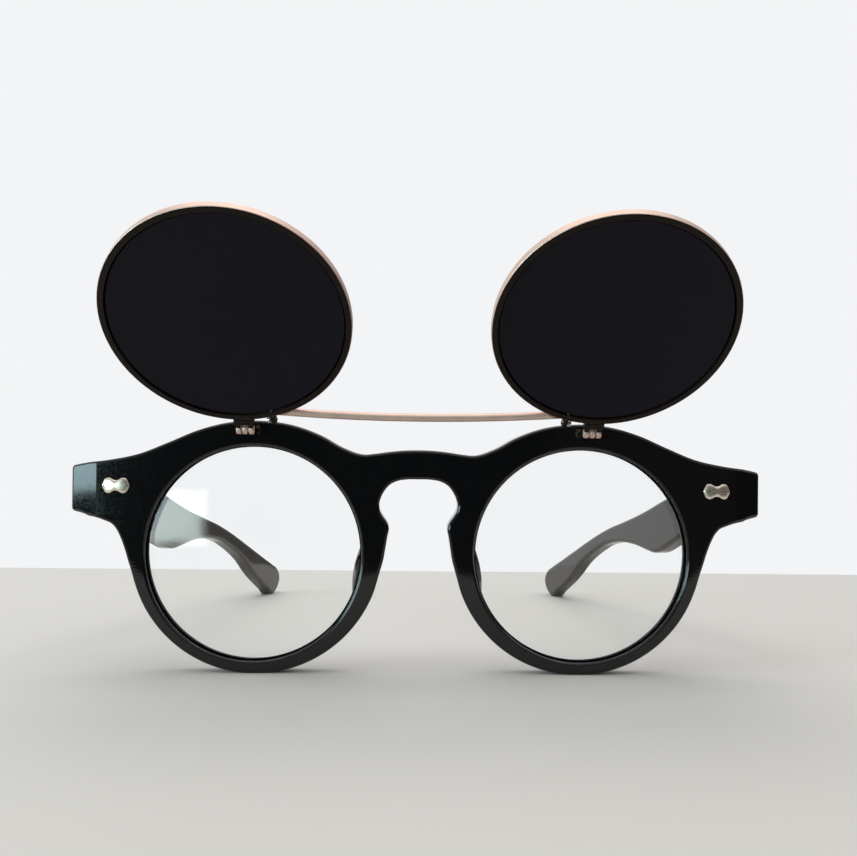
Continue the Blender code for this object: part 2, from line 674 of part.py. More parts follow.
def front_anchor_box(grow):
    """The stub that holds the front leaf in the acetate."""
    low, high = front_leaf_box(0.0)
    middle_x = low[0] + ANCHOR_LENGTH
    half = ANCHOR_LENGTH / 2 + grow
    tall = ANCHOR_HEIGHT / 2 + grow
    start = (middle_x - half, low[1] - ANCHOR_DEPTH - grow, HINGE_MIDDLE_HEIGHT - tall)
    return start, (middle_x + half, high[1] - LEAF_THICKNESS / 2, HINGE_MIDDLE_HEIGHT + tall)


def front_leaf_tabs(grow):
    """The two tabs of the front leaf that run out under its knuckles."""
    rear = FRONT_THICKNESS + LEAF_PROUD
    levels = knuckle_levels()
    tabs = []
    for low, high in (levels[0], levels[2]):
        start = (HINGE_X - KNUCKLE_RADIUS - 2 * GAP, rear - LEAF_THICKNESS - grow, low - grow)
        tabs.append((start, (HINGE_X + LEAF_OVERLAP + grow, rear + grow, high + grow)))
    return tabs


def front_leaf_seat():
    """The pocket in the rear face for the leaf, its tabs and its anchor, as one mesh."""
    low, high = front_leaf_box(GAP)
    tabs = front_leaf_tabs(GAP)
    end = (tabs[0][1][0], FRONT_THICKNESS + OVERRUN, tabs[1][1][2])
    mesh = box_mesh("leaf_seat", (low[0], low[1], tabs[0][0][2]), end)
    anchor = front_anchor_box(GAP)
    return joined_mesh("leaf_seat", mesh, box_mesh("anchor_seat", *anchor))


def joined_mesh(name, first, second):
    """The union of two meshes as one mesh."""
    base = bpy.data.objects.new(name, first)
    other = add_cutter(name + "_other", second, None)
    CUTTERS.objects.link(base)
    combine(base, other, "UNION")
    bpy.context.view_layer.update()
    mesh = evaluated_mesh(base, name)
    bpy.data.objects.remove(other, do_unlink=True)
    return mesh


def build_front_leaves():
    """The hinge leaves let into the rear of the end pieces, each with two knuckles."""
    levels = knuckle_levels()
    for side, sign in SIDES:
        plate = box_mesh("leaf", *front_leaf_box(0.0))
        leaf = add_piece(side + "_hinge_front_leaf", sided(plate, sign), STEEL, FRONT)
        additions = {"anchor": box_mesh("anchor", *front_anchor_box(0.0))}
        for index, (low, high) in enumerate((levels[0], levels[2])):
            additions["knuckle_%d" % index] = hinge_rod("knuckle", KNUCKLE_RADIUS, low, high, ROUND_SIDES)
        for index, (low, high) in enumerate(front_leaf_tabs(0.0)):
            additions["tab_%d" % index] = box_mesh("tab", low, high)
        for name, mesh in additions.items():
            combine(leaf, add_cutter("%s_front_leaf_%s" % (side, name), sided(mesh, sign), FRONT), "UNION")
        low = levels[0][0] - OVERRUN
        high = levels[2][1] + OVERRUN
        bore = hinge_rod("bore", HINGE_BORE_RADIUS, low, high, ROUND_SIDES)
        combine(leaf, add_cutter(side + "_front_leaf_bore", sided(bore, sign), FRONT), "DIFFERENCE")


def build_hinge_screws():
    """The slotted screws that the temples turn on."""
    levels = knuckle_levels()
    top = levels[2][1] + GAP
    for side, sign in SIDES:
        head_middle = top + SCREW_HEAD_HEIGHT / 2
        shank = hinge_rod("screw", HINGE_BORE_RADIUS - GAP, levels[0][0], head_middle, SMALL_SIDES)
        screw = add_piece(side + "_hinge_screw", sided(shank, sign), STEEL, FRONT)
        head_top = top + SCREW_HEAD_HEIGHT
        head = hinge_rod("head", SCREW_HEAD_RADIUS, top, head_top, ROUND_SIDES)
        combine(screw, add_cutter(side + "_screw_head", sided(head, sign), FRONT), "UNION")
        reach = SCREW_HEAD_RADIUS + OVERRUN
        low = (HINGE_X - SCREW_SLOT_WIDTH / 2, HINGE_Y - reach, head_top - SCREW_SLOT_DEPTH)
        high = (HINGE_X + SCREW_SLOT_WIDTH / 2, HINGE_Y + reach, head_top + OVERRUN)
        slot = box_mesh("slot", low, high)
        combine(screw, add_cutter(side + "_screw_slot", sided(slot, sign), FRONT), "DIFFERENCE")


def temple_drop():
    """Drop from the temple's top front corner to its lowest point, which touches the table."""
    lowest_y = BUTT_Y + TEMPLE_REACH * TEMPLE_LOWEST_SHARE
    rise_by_lean = lowest_y * math.sin(FRONT_LEAN)
    return TEMPLE_TOP + (rise_by_lean + TEMPLE_FLAT_DEPTH - FOOT_FLAT_DEPTH) / math.cos(FRONT_LEAN)


def temple_inward(y):
    """How far the temple has swung in towards the head at a place along it."""
    share = min(1.0, max(0.0, (y - BUTT_Y) / TEMPLE_REACH))
    return TEMPLE_INWARD * share ** TEMPLE_BEND_POWER


def temple_outline():
    """The temple's side view as Y and Z pairs, from the top of its front end round the tip and back."""
    drop = temple_drop()
    shares = TEMPLE_TOP_SHARES + TEMPLE_BOTTOM_SHARES
    return [(BUTT_Y + TEMPLE_REACH * run, TEMPLE_TOP - drop * fall) for run, fall in shares]


def temple_arm_mesh():
    """A flat plate to the temple's outline, swung in along its length."""
    points = temple_outline()
    loop = smooth_loop(points, OUTLINE_STEPS)
    ends = 2 * OUTLINE_STEPS
    tidy = [Vector((max(y, BUTT_Y), z)) for y, z in loop[:-ends]] + [Vector(points[-2]), Vector(points[-1])]
    mesh = plate_mesh("temple_arm", tidy, TEMPLE_THICKNESS, TEMPLE_EDGE_ROUND, EDGE_STEPS)
    bm = bmesh.new()
    bm.from_mesh(mesh)
    for vert in bm.verts:
        along, across, up = vert.co
        vert.co = (FRONT_HALF_WIDTH - across, along, up)
    bmesh.ops.dissolve_limit(
        bm, angle_limit=FLAT_ANGLE, verts=bm.verts, edges=bm.edges, use_dissolve_boundaries=False,
    )
    for share in TEMPLE_CUT_SHARES:
        cut_across(bm, (0.0, BUTT_Y + TEMPLE_REACH * share, 0.0), (0.0, 1.0, 0.0))
    for vert in bm.verts:
        vert.co.x -= temple_inward(vert.co.y)
    bmesh.ops.triangulate(bm, faces=bm.faces)
    return mesh_from(bm, "temple_arm")


def core_route(lead):
    """Points of the core wire, starting some way in from the temple's front end."""
    drop = temple_drop()
    route = []
    for run in CORE_SHARES:
        top = TEMPLE_TOP - drop * read_share(TEMPLE_TOP_SHARES, run)
        bottom = TEMPLE_TOP - drop * read_share(TEMPLE_BOTTOM_SHARES, run)
        y = BUTT_Y + TEMPLE_REACH * run
        x = FRONT_HALF_WIDTH - TEMPLE_THICKNESS / 2 - temple_inward(y)
        route.append(Vector((x, y, (top + bottom) / 2)))
    route[0] = route[0] + (route[1] - route[0]).normalized() * lead
    return route


def temple_leaf_boxes(grow):
    """The temple leaf's plate in the temple's inner face, and its anchor."""
    inner = TEMPLE_INNER_X - LEAF_PROUD
    start = HINGE_Y + KNUCKLE_RADIUS - LEAF_OVERLAP * 2
    half = LEAF_HEIGHT / 2 + grow
    low = (inner - grow, start, HINGE_MIDDLE_HEIGHT - half)
    high = (inner + LEAF_THICKNESS + grow, start + TEMPLE_LEAF_LENGTH + grow, HINGE_MIDDLE_HEIGHT + half)
    middle_y = start + TEMPLE_LEAF_LENGTH - ANCHOR_LENGTH
    reach = ANCHOR_LENGTH / 2 + grow
    tall = ANCHOR_HEIGHT / 2 + grow
    anchor_low = (inner + LEAF_THICKNESS / 2, middle_y - reach, HINGE_MIDDLE_HEIGHT - tall)
    anchor_end = inner + LEAF_THICKNESS + ANCHOR_DEPTH + grow
    anchor_high = (anchor_end, middle_y + reach, HINGE_MIDDLE_HEIGHT + tall)
    return (low, high), (anchor_low, anchor_high)


def at_hinge(mesh):
    """Move a mesh drawn in the front's frame so that its origin is on the temple's hinge axis."""
    mesh.transform(Matrix.Translation((-HINGE_X, -HINGE_Y, -HINGE_MIDDLE_HEIGHT)))
    return mesh


def build_temples():
    """The temples with their hinge leaves, and their core wires, whose bores start in the anchors' seats."""
    levels = knuckle_levels()
    for side, sign in SIDES:
        hinge = TEMPLES[side]
        arm = add_piece(side + "_temple_arm", sided(at_hinge(temple_arm_mesh()), sign), ACETATE, hinge)
        (plate_low, plate_high), anchor = temple_leaf_boxes(GAP)
        seat_low = (plate_low[0] - OVERRUN, BUTT_Y - OVERRUN, plate_low[2])
        seats = {
            "core_bore": tube_mesh("bore", core_route(CORE_START - OVERRUN), CORE_RADIUS + GAP),
            "leaf_seat": box_mesh("leaf_seat", seat_low, plate_high),
            "anchor_seat": box_mesh("anchor_seat", *anchor),
        }
        for name, mesh in seats.items():
            seat = add_cutter("%s_temple_%s" % (side, name), sided(at_hinge(mesh), sign), hinge)
            combine(arm, seat, "DIFFERENCE")
        reach = TEMPLE_REACH + BUTT_Y + OVERRUN
        floor = box_mesh("table", (-reach, 0.0, -2 * OVERRUN), (reach, reach, 0.0))
        combine(arm, add_cutter(side + "_temple_table", floor, GLASSES), "DIFFERENCE")

        route = core_route(CORE_START)
        route[-1] = route[-1] + (route[-2] - route[-1]).normalized() * GAP
        wire = at_hinge(tube_mesh("wire", route, CORE_RADIUS))
        add_piece(side + "_core_wire", sided(wire, sign), STEEL, hinge)

        (plate_low, plate_high), anchor = temple_leaf_boxes(0.0)
        leaf_mesh = sided(at_hinge(box_mesh("leaf", plate_low, plate_high)), sign)
        leaf = add_piece(side + "_hinge_temple_leaf", leaf_mesh, STEEL, hinge)
        low, high = levels[1]
        web_low = (HINGE_X + LEAF_OVERLAP, plate_low[1], low)
        web_high = (plate_high[0] - LEAF_OVERLAP / 2, plate_low[1] + LEAF_WEB, high)
        additions = {
            "anchor": box_mesh("anchor", *anchor),
            "knuckle": hinge_rod("knuckle", KNUCKLE_RADIUS, low, high, ROUND_SIDES),
            "web": box_mesh("web", web_low, web_high),
        }
        for name, mesh in additions.items():
            addition = add_cutter("%s_temple_leaf_%s" % (side, name), sided(at_hinge(mesh), sign), hinge)
            combine(leaf, addition, "UNION")
        bore = at_hinge(hinge_rod("bore", HINGE_BORE_RADIUS, low - OVERRUN, high + OVERRUN, ROUND_SIDES))
        combine(leaf, add_cutter(side + "_temple_leaf_bore", sided(bore, sign), hinge), "DIFFERENCE")


def flip_knuckle_spans():
    """Inner and outer X of the three flip knuckles, measured from the hinge's middle."""
    pitch = FLIP_KNUCKLE_WIDTH + GAP
    half = FLIP_KNUCKLE_WIDTH / 2
    return [(step * pitch - half, step * pitch + half) for step in (-1, 0, 1)]


def post_ends(grow):
    """Both ends of the flip hinge's post, in the front's frame."""
    height = FLIP_AXIS_HEIGHT - FLIP_POST_DROP
    front = -GAP - FLIP_PLATE_THICKNESS / 2
    return (FLIP_HINGE_FROM_CENTRE, front, height), (FLIP_HINGE_FROM_CENTRE, FLIP_POST_DEPTH + grow, height)


def post_seat():
    """The hole in the acetate for the flip hinge's post."""
    return rod_mesh("post_seat", FLIP_POST_RADIUS + GAP, *post_ends(GAP), SMALL_SIDES)


def build_flip_bases():
    """The flip hinges' plates on the front, each with its middle knuckle, a post and the pin."""
    spans = flip_knuckle_spans()
    axis_y = -FLIP_AXIS_FROM_FACE
    for side, sign in SIDES:
        x = FLIP_HINGE_FROM_CENTRE
        plate_face = -GAP - FLIP_PLATE_THICKNESS
        plate_low = (x - FLIP_PLATE_HALF_WIDTH, plate_face, FLIP_AXIS_HEIGHT - FLIP_PLATE_BELOW)
        plate_high = (x + FLIP_PLATE_HALF_WIDTH, -GAP, FLIP_AXIS_HEIGHT + FLIP_PLATE_ABOVE)
        plate = sided(box_mesh("plate", plate_low, plate_high), sign)
        base = add_piece(side + "_flip_hinge_base", plate, ROSE_GOLD, FRONT)
        inner, outer = (x + end for end in spans[1])
        half = FLIP_LUG_HALF_HEIGHT
        lug_low = (inner, axis_y + FLIP_BORE_RADIUS, FLIP_AXIS_HEIGHT - half)
        lug_high = (outer, -GAP - FLIP_PLATE_THICKNESS / 2, FLIP_AXIS_HEIGHT + half)
        knuckle_start = (inner, axis_y, FLIP_AXIS_HEIGHT)
        knuckle_end = (outer, axis_y, FLIP_AXIS_HEIGHT)
        additions = {
            "post": rod_mesh("post", FLIP_POST_RADIUS, *post_ends(0.0), SMALL_SIDES),
            "knuckle": rod_mesh("knuckle", FLIP_KNUCKLE_RADIUS, knuckle_start, knuckle_end, ROUND_SIDES),
            "lug": box_mesh("lug", lug_low, lug_high),
        }
        for name, mesh in additions.items():
            combine(base, add_cutter("%s_flip_%s" % (side, name), sided(mesh, sign), FRONT), "UNION")
        start = (x + spans[0][0] - OVERRUN, axis_y, FLIP_AXIS_HEIGHT)
        end = (x + spans[2][1] + OVERRUN, axis_y, FLIP_AXIS_HEIGHT)
        bore = rod_mesh("bore", FLIP_BORE_RADIUS, start, end, ROUND_SIDES)
        combine(base, add_cutter(side + "_flip_base_bore", sided(bore, sign), FRONT), "DIFFERENCE")
        pin_start = (x + spans[0][0], axis_y, FLIP_AXIS_HEIGHT)
        pin_end = (x + spans[2][1], axis_y, FLIP_AXIS_HEIGHT)
        pin = rod_mesh("pin", FLIP_BORE_RADIUS - GAP, pin_start, pin_end, SMALL_SIDES)
        add_piece(side + "_flip_hinge_pin", sided(pin, sign), ROSE_GOLD, FRONT)


def build_flip_arms():
    """The fork of each flip hinge: two knuckles, and the saddle that carries the rim."""
    spans = flip_knuckle_spans()
    for side, sign in SIDES:
        x = FLIP_HINGE_FROM_CENTRE
        depth = FLIP_SADDLE_HALF_DEPTH
        saddle_low = (x - FLIP_SADDLE_HALF_WIDTH, -depth, -SUN_RIM_BELOW_AXIS - OVERRUN)
        saddle = box_mesh("saddle", saddle_low, (x + FLIP_SADDLE_HALF_WIDTH, depth, -FLIP_STRAP_DROP))
        arm = add_piece(side + "_flip_hinge_arm", sided(saddle, sign), ROSE_GOLD, FLIP)
        for index, (inner, outer) in enumerate((spans[0], spans[2])):
            start = (x + inner, 0.0, 0.0)
            knuckle = rod_mesh("knuckle", FLIP_KNUCKLE_RADIUS, start, (x + outer, 0.0, 0.0), ROUND_SIDES)
            strap_low = (x + inner, -depth, -FLIP_STRAP_DROP - GAP / 2)
            strap = box_mesh("strap", strap_low, (x + outer, depth, -FLIP_BORE_RADIUS))
            for name, mesh in (("knuckle", knuckle), ("strap", strap)):
                addition = add_cutter("%s_flip_%s_%d" % (side, name, index), sided(mesh, sign), FLIP)
                combine(arm, addition, "UNION")
        start = (x + spans[0][0] - OVERRUN, 0.0, 0.0)
        bore = rod_mesh("bore", FLIP_BORE_RADIUS, start, (x + spans[2][1] + OVERRUN, 0.0, 0.0), ROUND_SIDES)
        combine(arm, add_cutter(side + "_flip_arm_bore", sided(bore, sign), FLIP), "DIFFERENCE")
        combine(arm, add_cutter(side + "_saddle_rim", sided(rim_clearance(), sign), FLIP), "DIFFERENCE")


def sun_centre():
    """Middle of the left sun lens, in the flip's frame with the lens hanging down."""
    return Vector((SUN_FROM_CENTRE, 0.0, -SUN_RIM_BELOW_AXIS - SUN_RIM_RADIUS))


def rim_clearance():
    """A disc as large as the sun rim and its clearance."""
    centre = sun_centre()
    half = Vector((0.0, SUN_RIM_DEPTH / 2 + OVERRUN, 0.0))
    return rod_mesh("rim_clearance", SUN_RIM_RADIUS + GAP, centre - half, centre + half, 2 * LENS_STEPS)


def lock_turn():
    """Angle of the rim lock round the sun rim, from straight up towards the middle of the glasses."""
    return math.asin(LOCK_FROM_RIM_CENTRE / SUN_RIM_RADIUS)


def at_lock(mesh):
    """Place a mesh drawn round the rim's top at the lock's own place on the left rim."""
    turn = Matrix.Rotation(-lock_turn(), 4, "Y")
    mesh.transform(Matrix.Translation(sun_centre()) @ turn)
    return mesh


def build_sun_lenses():
    """The metal rims, each with a slit under its lock, and the dark lenses in them."""
    outer = SUN_RIM_RADIUS
    inner = outer - SUN_RIM_WALL
    half = SUN_RIM_DEPTH / 2
    cut = SUN_RIM_CHAMFER
    groove = SUN_GROOVE_WIDTH / 2
    rim_profile = [
        (outer - cut, -half), (outer, cut - half), (outer, half - cut), (outer - cut, half), (inner, half),
        (inner, groove), (inner + SUN_GROOVE_DEPTH, 0.0), (inner, -groove), (inner, -half),
    ]
    glass = lens_profile(inner - GAP, SUN_GROOVE_DEPTH - GAP, SUN_LENS_THICKNESS, SUN_LENS_DOME)
    for side, sign in SIDES:
        rim = sided(turned_mesh("rim", rim_profile, True, sun_centre()), sign)
        rim = add_piece(side + "_sun_rim", rim, ROSE_GOLD, FLIP)
        low = (-RIM_SLIT / 2, -SUN_RIM_DEPTH, inner - OVERRUN / 2)
        slit = at_lock(box_mesh("slit", low, (RIM_SLIT / 2, SUN_RIM_DEPTH, outer + OVERRUN)))
        combine(rim, add_cutter(side + "_rim_slit", sided(slit, sign), FLIP), "DIFFERENCE")
        lens = sided(turned_mesh("sun_lens", glass, False, sun_centre()), sign)
        add_piece(side + "_sun_lens", lens, SMOKED, FLIP)


def build_rim_locks():
    """The small blocks that close the sun rims, and their screws."""
    seat = SUN_RIM_RADIUS + GAP
    middle = seat + LOCK_RADIAL / 2
    half_length = LOCK_LENGTH / 2
    half_depth = LOCK_DEPTH / 2
    for side, sign in SIDES:
        high = (half_length, half_depth, seat + LOCK_RADIAL)
        block = at_lock(box_mesh("lock", (-half_length, -half_depth, seat), high))
        lock = add_piece(side + "_rim_lock", sided(block, sign), ROSE_GOLD, FLIP)
        reach = half_length + OVERRUN
        bore = rod_mesh("bore", LOCK_BORE_RADIUS, (-reach, 0.0, middle), (reach, 0.0, middle), SMALL_SIDES)
        bore = at_lock(bore)
        combine(lock, add_cutter(side + "_lock_bore", sided(bore, sign), FLIP), "DIFFERENCE")
        combine(lock, add_cutter(side + "_lock_rim", sided(rim_clearance(), sign), FLIP), "DIFFERENCE")
        head_start = (half_length + GAP, 0.0, middle)
        head_end = (half_length + GAP + LOCK_HEAD_HEIGHT, 0.0, middle)
        shank_end = (half_length + GAP + LOCK_HEAD_HEIGHT / 2, 0.0, middle)
        shank = rod_mesh("screw", LOCK_SCREW_RADIUS, (-half_length, 0.0, middle), shank_end, SMALL_SIDES)
        screw = add_piece(side + "_rim_screw", sided(at_lock(shank), sign), STEEL, FLIP)
        head = rod_mesh("head", LOCK_HEAD_RADIUS, head_start, head_end, SMALL_SIDES)
        combine(screw, add_cutter(side + "_rim_screw_head", sided(at_lock(head), sign), FLIP), "UNION")


def build_flip_bar():
    """The bowed wire that ties the two sun rims together."""
    end_x = SUN_FROM_CENTRE - BAR_END_FROM_RIM_CENTRE
    points = []
    for index in range(BAR_POINTS):
        share = 2 * index / (BAR_POINTS - 1) - 1
        points.append((end_x * share, 0.0, -BAR_BELOW_AXIS - BAR_BOW * share ** 2))
    bar = add_piece("flip_bar", tube_mesh("bar", points, BAR_RADIUS), ROSE_GOLD, FLIP)
    for side, sign in SIDES:
        combine(bar, add_cutter(side + "_bar_rim", sided(rim_clearance(), sign), FLIP), "DIFFERENCE")
        near = (-LOCK_LENGTH / 2 - GAP, -LOCK_DEPTH, SUN_RIM_RADIUS)
        far = (LOCK_LENGTH / 2 + GAP, LOCK_DEPTH, SUN_RIM_RADIUS + 2 * LOCK_RADIAL)
        clear = at_lock(box_mesh("lock_clearance", near, far))
        combine(bar, add_cutter(side + "_bar_lock", sided(clear, sign), FLIP), "DIFFERENCE")


def centre_on_origin():
    """Slide everything along Y so that the middle of its bounding box is over the origin."""
    bpy.context.view_layer.update()
    graph = bpy.context.evaluated_depsgraph_get()
    depths = []
    for piece in PARTS.objects:
        if piece.type == "MESH":
            solid = piece.evaluated_get(graph)
            depths += [(solid.matrix_world @ vert.co).y for vert in solid.data.vertices]
    GLASSES.location.y -= (min(depths) + max(depths)) / 2
    bpy.context.view_layer.update()


clear_scene()
PARTS = new_collection("flip_up_glasses")
CUTTERS = new_collection("cutters")

ACETATE = new_material("black_acetate", (0.004, 0.004, 0.005), 0.18, 0.0)
CLEAR = new_material("clear_lens", (0.95, 0.97, 0.97), 0.03, 0.0, 0.2)
SMOKED = new_material("smoked_lens", (0.01, 0.009, 0.013), 0.08, 0.0)
ROSE_GOLD = new_material("rose_gold", (0.60, 0.42, 0.34), 0.25, 1.0)
GILT = new_material("pale_gilt", (0.72, 0.62, 0.50), 0.28, 1.0)
STEEL = new_material("steel", (0.55, 0.55, 0.55), 0.3, 1.0)

GLASSES = new_empty("glasses", None, (0.0, 0.0, 0.0))
FRONT = new_empty("front", GLASSES, (0.0, 0.0, -FOOT_FLAT_DEPTH), FRONT_LEAN)
FLIP = new_empty("flip", FRONT, (0.0, -FLIP_AXIS_FROM_FACE, FLIP_AXIS_HEIGHT), -FLIP_UP_ANGLE)
TEMPLES = {
    side: new_empty(side + "_temple", FRONT, (sign * HINGE_X, HINGE_Y, HINGE_MIDDLE_HEIGHT))
    for side, sign in SIDES
}

build_front()
build_lenses()
build_nose_pads()
build_plaques()
build_front_leaves()
build_hinge_screws()
build_flip_bases()
build_temples()
build_flip_arms()
build_sun_lenses()
build_rim_locks()
build_flip_bar()
centre_on_origin()

EMPTIES = {"flip axis": FLIP, "left hinge": TEMPLES["left"], "right hinge": TEMPLES["right"]}
for label, empty in EMPTIES.items():
    print(label, [round(value, 6) for value in empty.matrix_world.translation])
UP_THE_FACE = FRONT.matrix_world.to_3x3() @ Vector((0.0, 0.0, 1.0))
print("hinge axis direction", [round(value, 6) for value in UP_THE_FACE])
print("front origin", [round(value, 6) for value in FRONT.matrix_world.translation])
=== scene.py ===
# %% [markdown]
# # Flip-up round glasses, dressed for the camera
#
# Black acetate glasses carry a second pair of dark lenses in thin metal rims. The second pair
# hangs on two tiny hinges and is swung up here, as far as it goes. The solids that carry the
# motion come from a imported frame, and this file gives every surface its real finish. Each cell
# first says what a piece is on the real object, then how it is made.

# %% Load the frame
import json
import math

import bmesh
import bpy
from mathutils import Matrix, Vector

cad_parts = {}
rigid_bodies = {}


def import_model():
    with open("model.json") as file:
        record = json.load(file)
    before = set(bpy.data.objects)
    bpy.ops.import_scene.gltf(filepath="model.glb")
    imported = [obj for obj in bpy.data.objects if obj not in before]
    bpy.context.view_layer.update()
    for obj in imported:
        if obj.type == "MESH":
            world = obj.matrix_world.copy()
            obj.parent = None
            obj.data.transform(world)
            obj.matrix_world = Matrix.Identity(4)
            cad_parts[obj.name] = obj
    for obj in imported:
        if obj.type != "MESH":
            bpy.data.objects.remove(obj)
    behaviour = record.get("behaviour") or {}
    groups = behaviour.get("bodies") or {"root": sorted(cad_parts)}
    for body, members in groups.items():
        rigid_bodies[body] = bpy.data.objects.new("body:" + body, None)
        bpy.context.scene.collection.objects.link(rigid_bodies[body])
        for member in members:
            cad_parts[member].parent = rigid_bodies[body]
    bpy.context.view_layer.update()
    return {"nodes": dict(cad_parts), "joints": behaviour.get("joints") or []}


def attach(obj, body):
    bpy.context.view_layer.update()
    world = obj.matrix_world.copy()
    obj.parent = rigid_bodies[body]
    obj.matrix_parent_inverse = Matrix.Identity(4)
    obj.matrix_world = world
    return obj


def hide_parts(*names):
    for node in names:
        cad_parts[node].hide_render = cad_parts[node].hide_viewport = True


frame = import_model()
joints = {joint["name"]: joint for joint in frame["joints"]}

# %% [markdown]
# ## Sizes
#
# Every length is a real size in metres. The acetate front is drawn flat, in its own frame: X
# across, Y back from the front face, Z up the face from the lowest point of the rings. Tables
# that end in shares hold parts of a named size, so a curve grows with the size it belongs to.

# %% Sizes of the acetate front
MM = 0.001
EYE_RADIUS = 22.0 * MM
EYE_GAP = 23.1 * MM
RIM_BELOW = 2.5 * MM
RIM_OUTSIDE = 3.15 * MM
RIM_INSIDE = 4.25 * MM
RIM_ABOVE = 5.1 * MM
FRONT_THICKNESS = 5.0 * MM
FRONT_EDGE_ROUND = 0.6 * MM
END_REACH = 12.9 * MM
END_BELOW_BROW = 9.5 * MM
END_HEIGHT = 9.6 * MM
END_DEPTH = 8.3 * MM
END_CORNER = 0.9 * MM
FACET_WIDTH = 6.1 * MM
FACET_SETBACK = 3.0 * MM
BRIDGE_BELOW_BROW = 5.7 * MM
BRIDGE_CROWN = 1.0 * MM
BRIDGE_HALF_CROWN = 11.3 * MM
BRIDGE_HEIGHT = 6.0 * MM
KEYHOLE_HALF_WIDTH = 8.05 * MM
KEYHOLE_HEIGHT = 9.75 * MM
NECK_HALF_WIDTH = 6.0 * MM
GAP = 0.3 * MM
OVERRUN = 1.0 * MM
MERGE = 0.001 * MM
QUARTER = math.pi / 2

EYE_X = EYE_GAP / 2 + EYE_RADIUS
EYE_Z = RIM_BELOW + EYE_RADIUS
RING_X = EYE_X + (RIM_OUTSIDE - RIM_INSIDE) / 2
RING_RADIUS = EYE_RADIUS + (RIM_OUTSIDE + RIM_INSIDE) / 2
RING_Z = RING_RADIUS
BROW_TOP = EYE_Z + EYE_RADIUS + RIM_ABOVE
FRONT_HALF_WIDTH = RING_X + RING_RADIUS + END_REACH
END_TOP = BROW_TOP - END_BELOW_BROW
BRIDGE_TOP = BROW_TOP - BRIDGE_BELOW_BROW
END_BOTTOM = END_TOP - END_HEIGHT
KEYHOLE_TOP = BRIDGE_TOP - BRIDGE_HEIGHT
NECK_Z = KEYHOLE_TOP - KEYHOLE_HEIGHT
SIDES = (("left", 1), ("right", -1))
print("front is %.1f mm wide" % (2 * FRONT_HALF_WIDTH / MM))

# %% Sizes of the hinges and temples
KNUCKLE_RADIUS = 1.8 * MM
KNUCKLE_HEIGHT = 2.2 * MM
HINGE_BORE_RADIUS = 0.9 * MM
HINGE_BELOW_TOP = 5.2 * MM
LEAF_THICKNESS = 0.8 * MM
LEAF_HEIGHT = 6.0 * MM
LEAF_PROUD = 0.5 * MM
LEAF_OVERLAP = 0.2 * MM
LEAF_WEB = 0.8 * MM
FRONT_LEAF_LENGTH = 6.6 * MM
TEMPLE_LEAF_LENGTH = 9.5 * MM
SCREW_HEAD_RADIUS = 1.5 * MM
SCREW_HEAD_HEIGHT = 0.6 * MM
TEMPLE_THICKNESS = 4.0 * MM
TEMPLE_REACH = 122.8 * MM
TEMPLE_INWARD = 20.6 * MM
TEMPLE_BEND_POWER = 1.35
TEMPLE_EDGE_ROUND = 0.9 * MM
TEMPLE_TOP_BELOW_END = 0.1 * MM

HINGE_MIDDLE_HEIGHT = END_TOP - HINGE_BELOW_TOP
TEMPLE_INNER_X = FRONT_HALF_WIDTH - TEMPLE_THICKNESS
TEMPLE_TOP = END_TOP - TEMPLE_TOP_BELOW_END
BUTT_Y = END_DEPTH + GAP
HINGE_X = TEMPLE_INNER_X - LEAF_PROUD + LEAF_OVERLAP + GAP / 2 - KNUCKLE_RADIUS
HINGE_Y = FRONT_THICKNESS + GAP + KNUCKLE_RADIUS
STEP_START_X = HINGE_X + KNUCKLE_RADIUS + GAP
STEP_END_X = STEP_START_X + GAP
print("temples reach %.1f mm back" % (TEMPLE_REACH / MM))

# %% Sizes of the flip-up pair
FLIP_HINGE_OUTSIDE_EYE = 1.25 * MM
FLIP_AXIS_BELOW_BROW = 1.8 * MM
FLIP_AXIS_FROM_FACE = 3.6 * MM
FLIP_KNUCKLE_RADIUS = 1.0 * MM
FLIP_KNUCKLE_WIDTH = 0.95 * MM
FLIP_BORE_RADIUS = 0.64 * MM
FLIP_PLATE_HALF_WIDTH = 1.4 * MM
FLIP_PLATE_ABOVE = 0.8 * MM
FLIP_PLATE_BELOW = 1.2 * MM
FLIP_PLATE_THICKNESS = 0.7 * MM
FLIP_LUG_HALF_HEIGHT = 0.7 * MM
FLIP_STRAP_DROP = 1.5 * MM
FLIP_SADDLE_HALF_WIDTH = 2.0 * MM
FLIP_SADDLE_HALF_DEPTH = 0.7 * MM
SUN_RIM_OVER_EYE = 0.7 * MM
SUN_RIM_WALL = 1.2 * MM
SUN_RIM_DEPTH = 1.8 * MM
SUN_RIM_ROUND = 0.3 * MM
SUN_GROOVE_DEPTH = 0.75 * MM
SUN_GROOVE_WIDTH = 1.0 * MM
SUN_OUTSIDE_EYE = 1.75 * MM
SUN_RIM_BELOW_AXIS = 3.0 * MM
SUN_LENS_THICKNESS = 0.9 * MM
SUN_LENS_DOME = 0.8 * MM
RIM_SLIT = 0.3 * MM
BAR_RADIUS = 0.8 * MM
BAR_BELOW_AXIS = 3.5 * MM
BAR_BOW = 1.4 * MM
BAR_END_FROM_RIM_CENTRE = 5.7 * MM
LOCK_FROM_RIM_CENTRE = 6.1 * MM
LOCK_LENGTH = 1.0 * MM
LOCK_RADIAL = 1.6 * MM
LOCK_DEPTH = 1.5 * MM
LOCK_BORE_RADIUS = 0.52 * MM
LOCK_SCREW_RADIUS = 0.22 * MM
LOCK_HEAD_RADIUS = 0.6 * MM
LOCK_HEAD_HEIGHT = 0.4 * MM

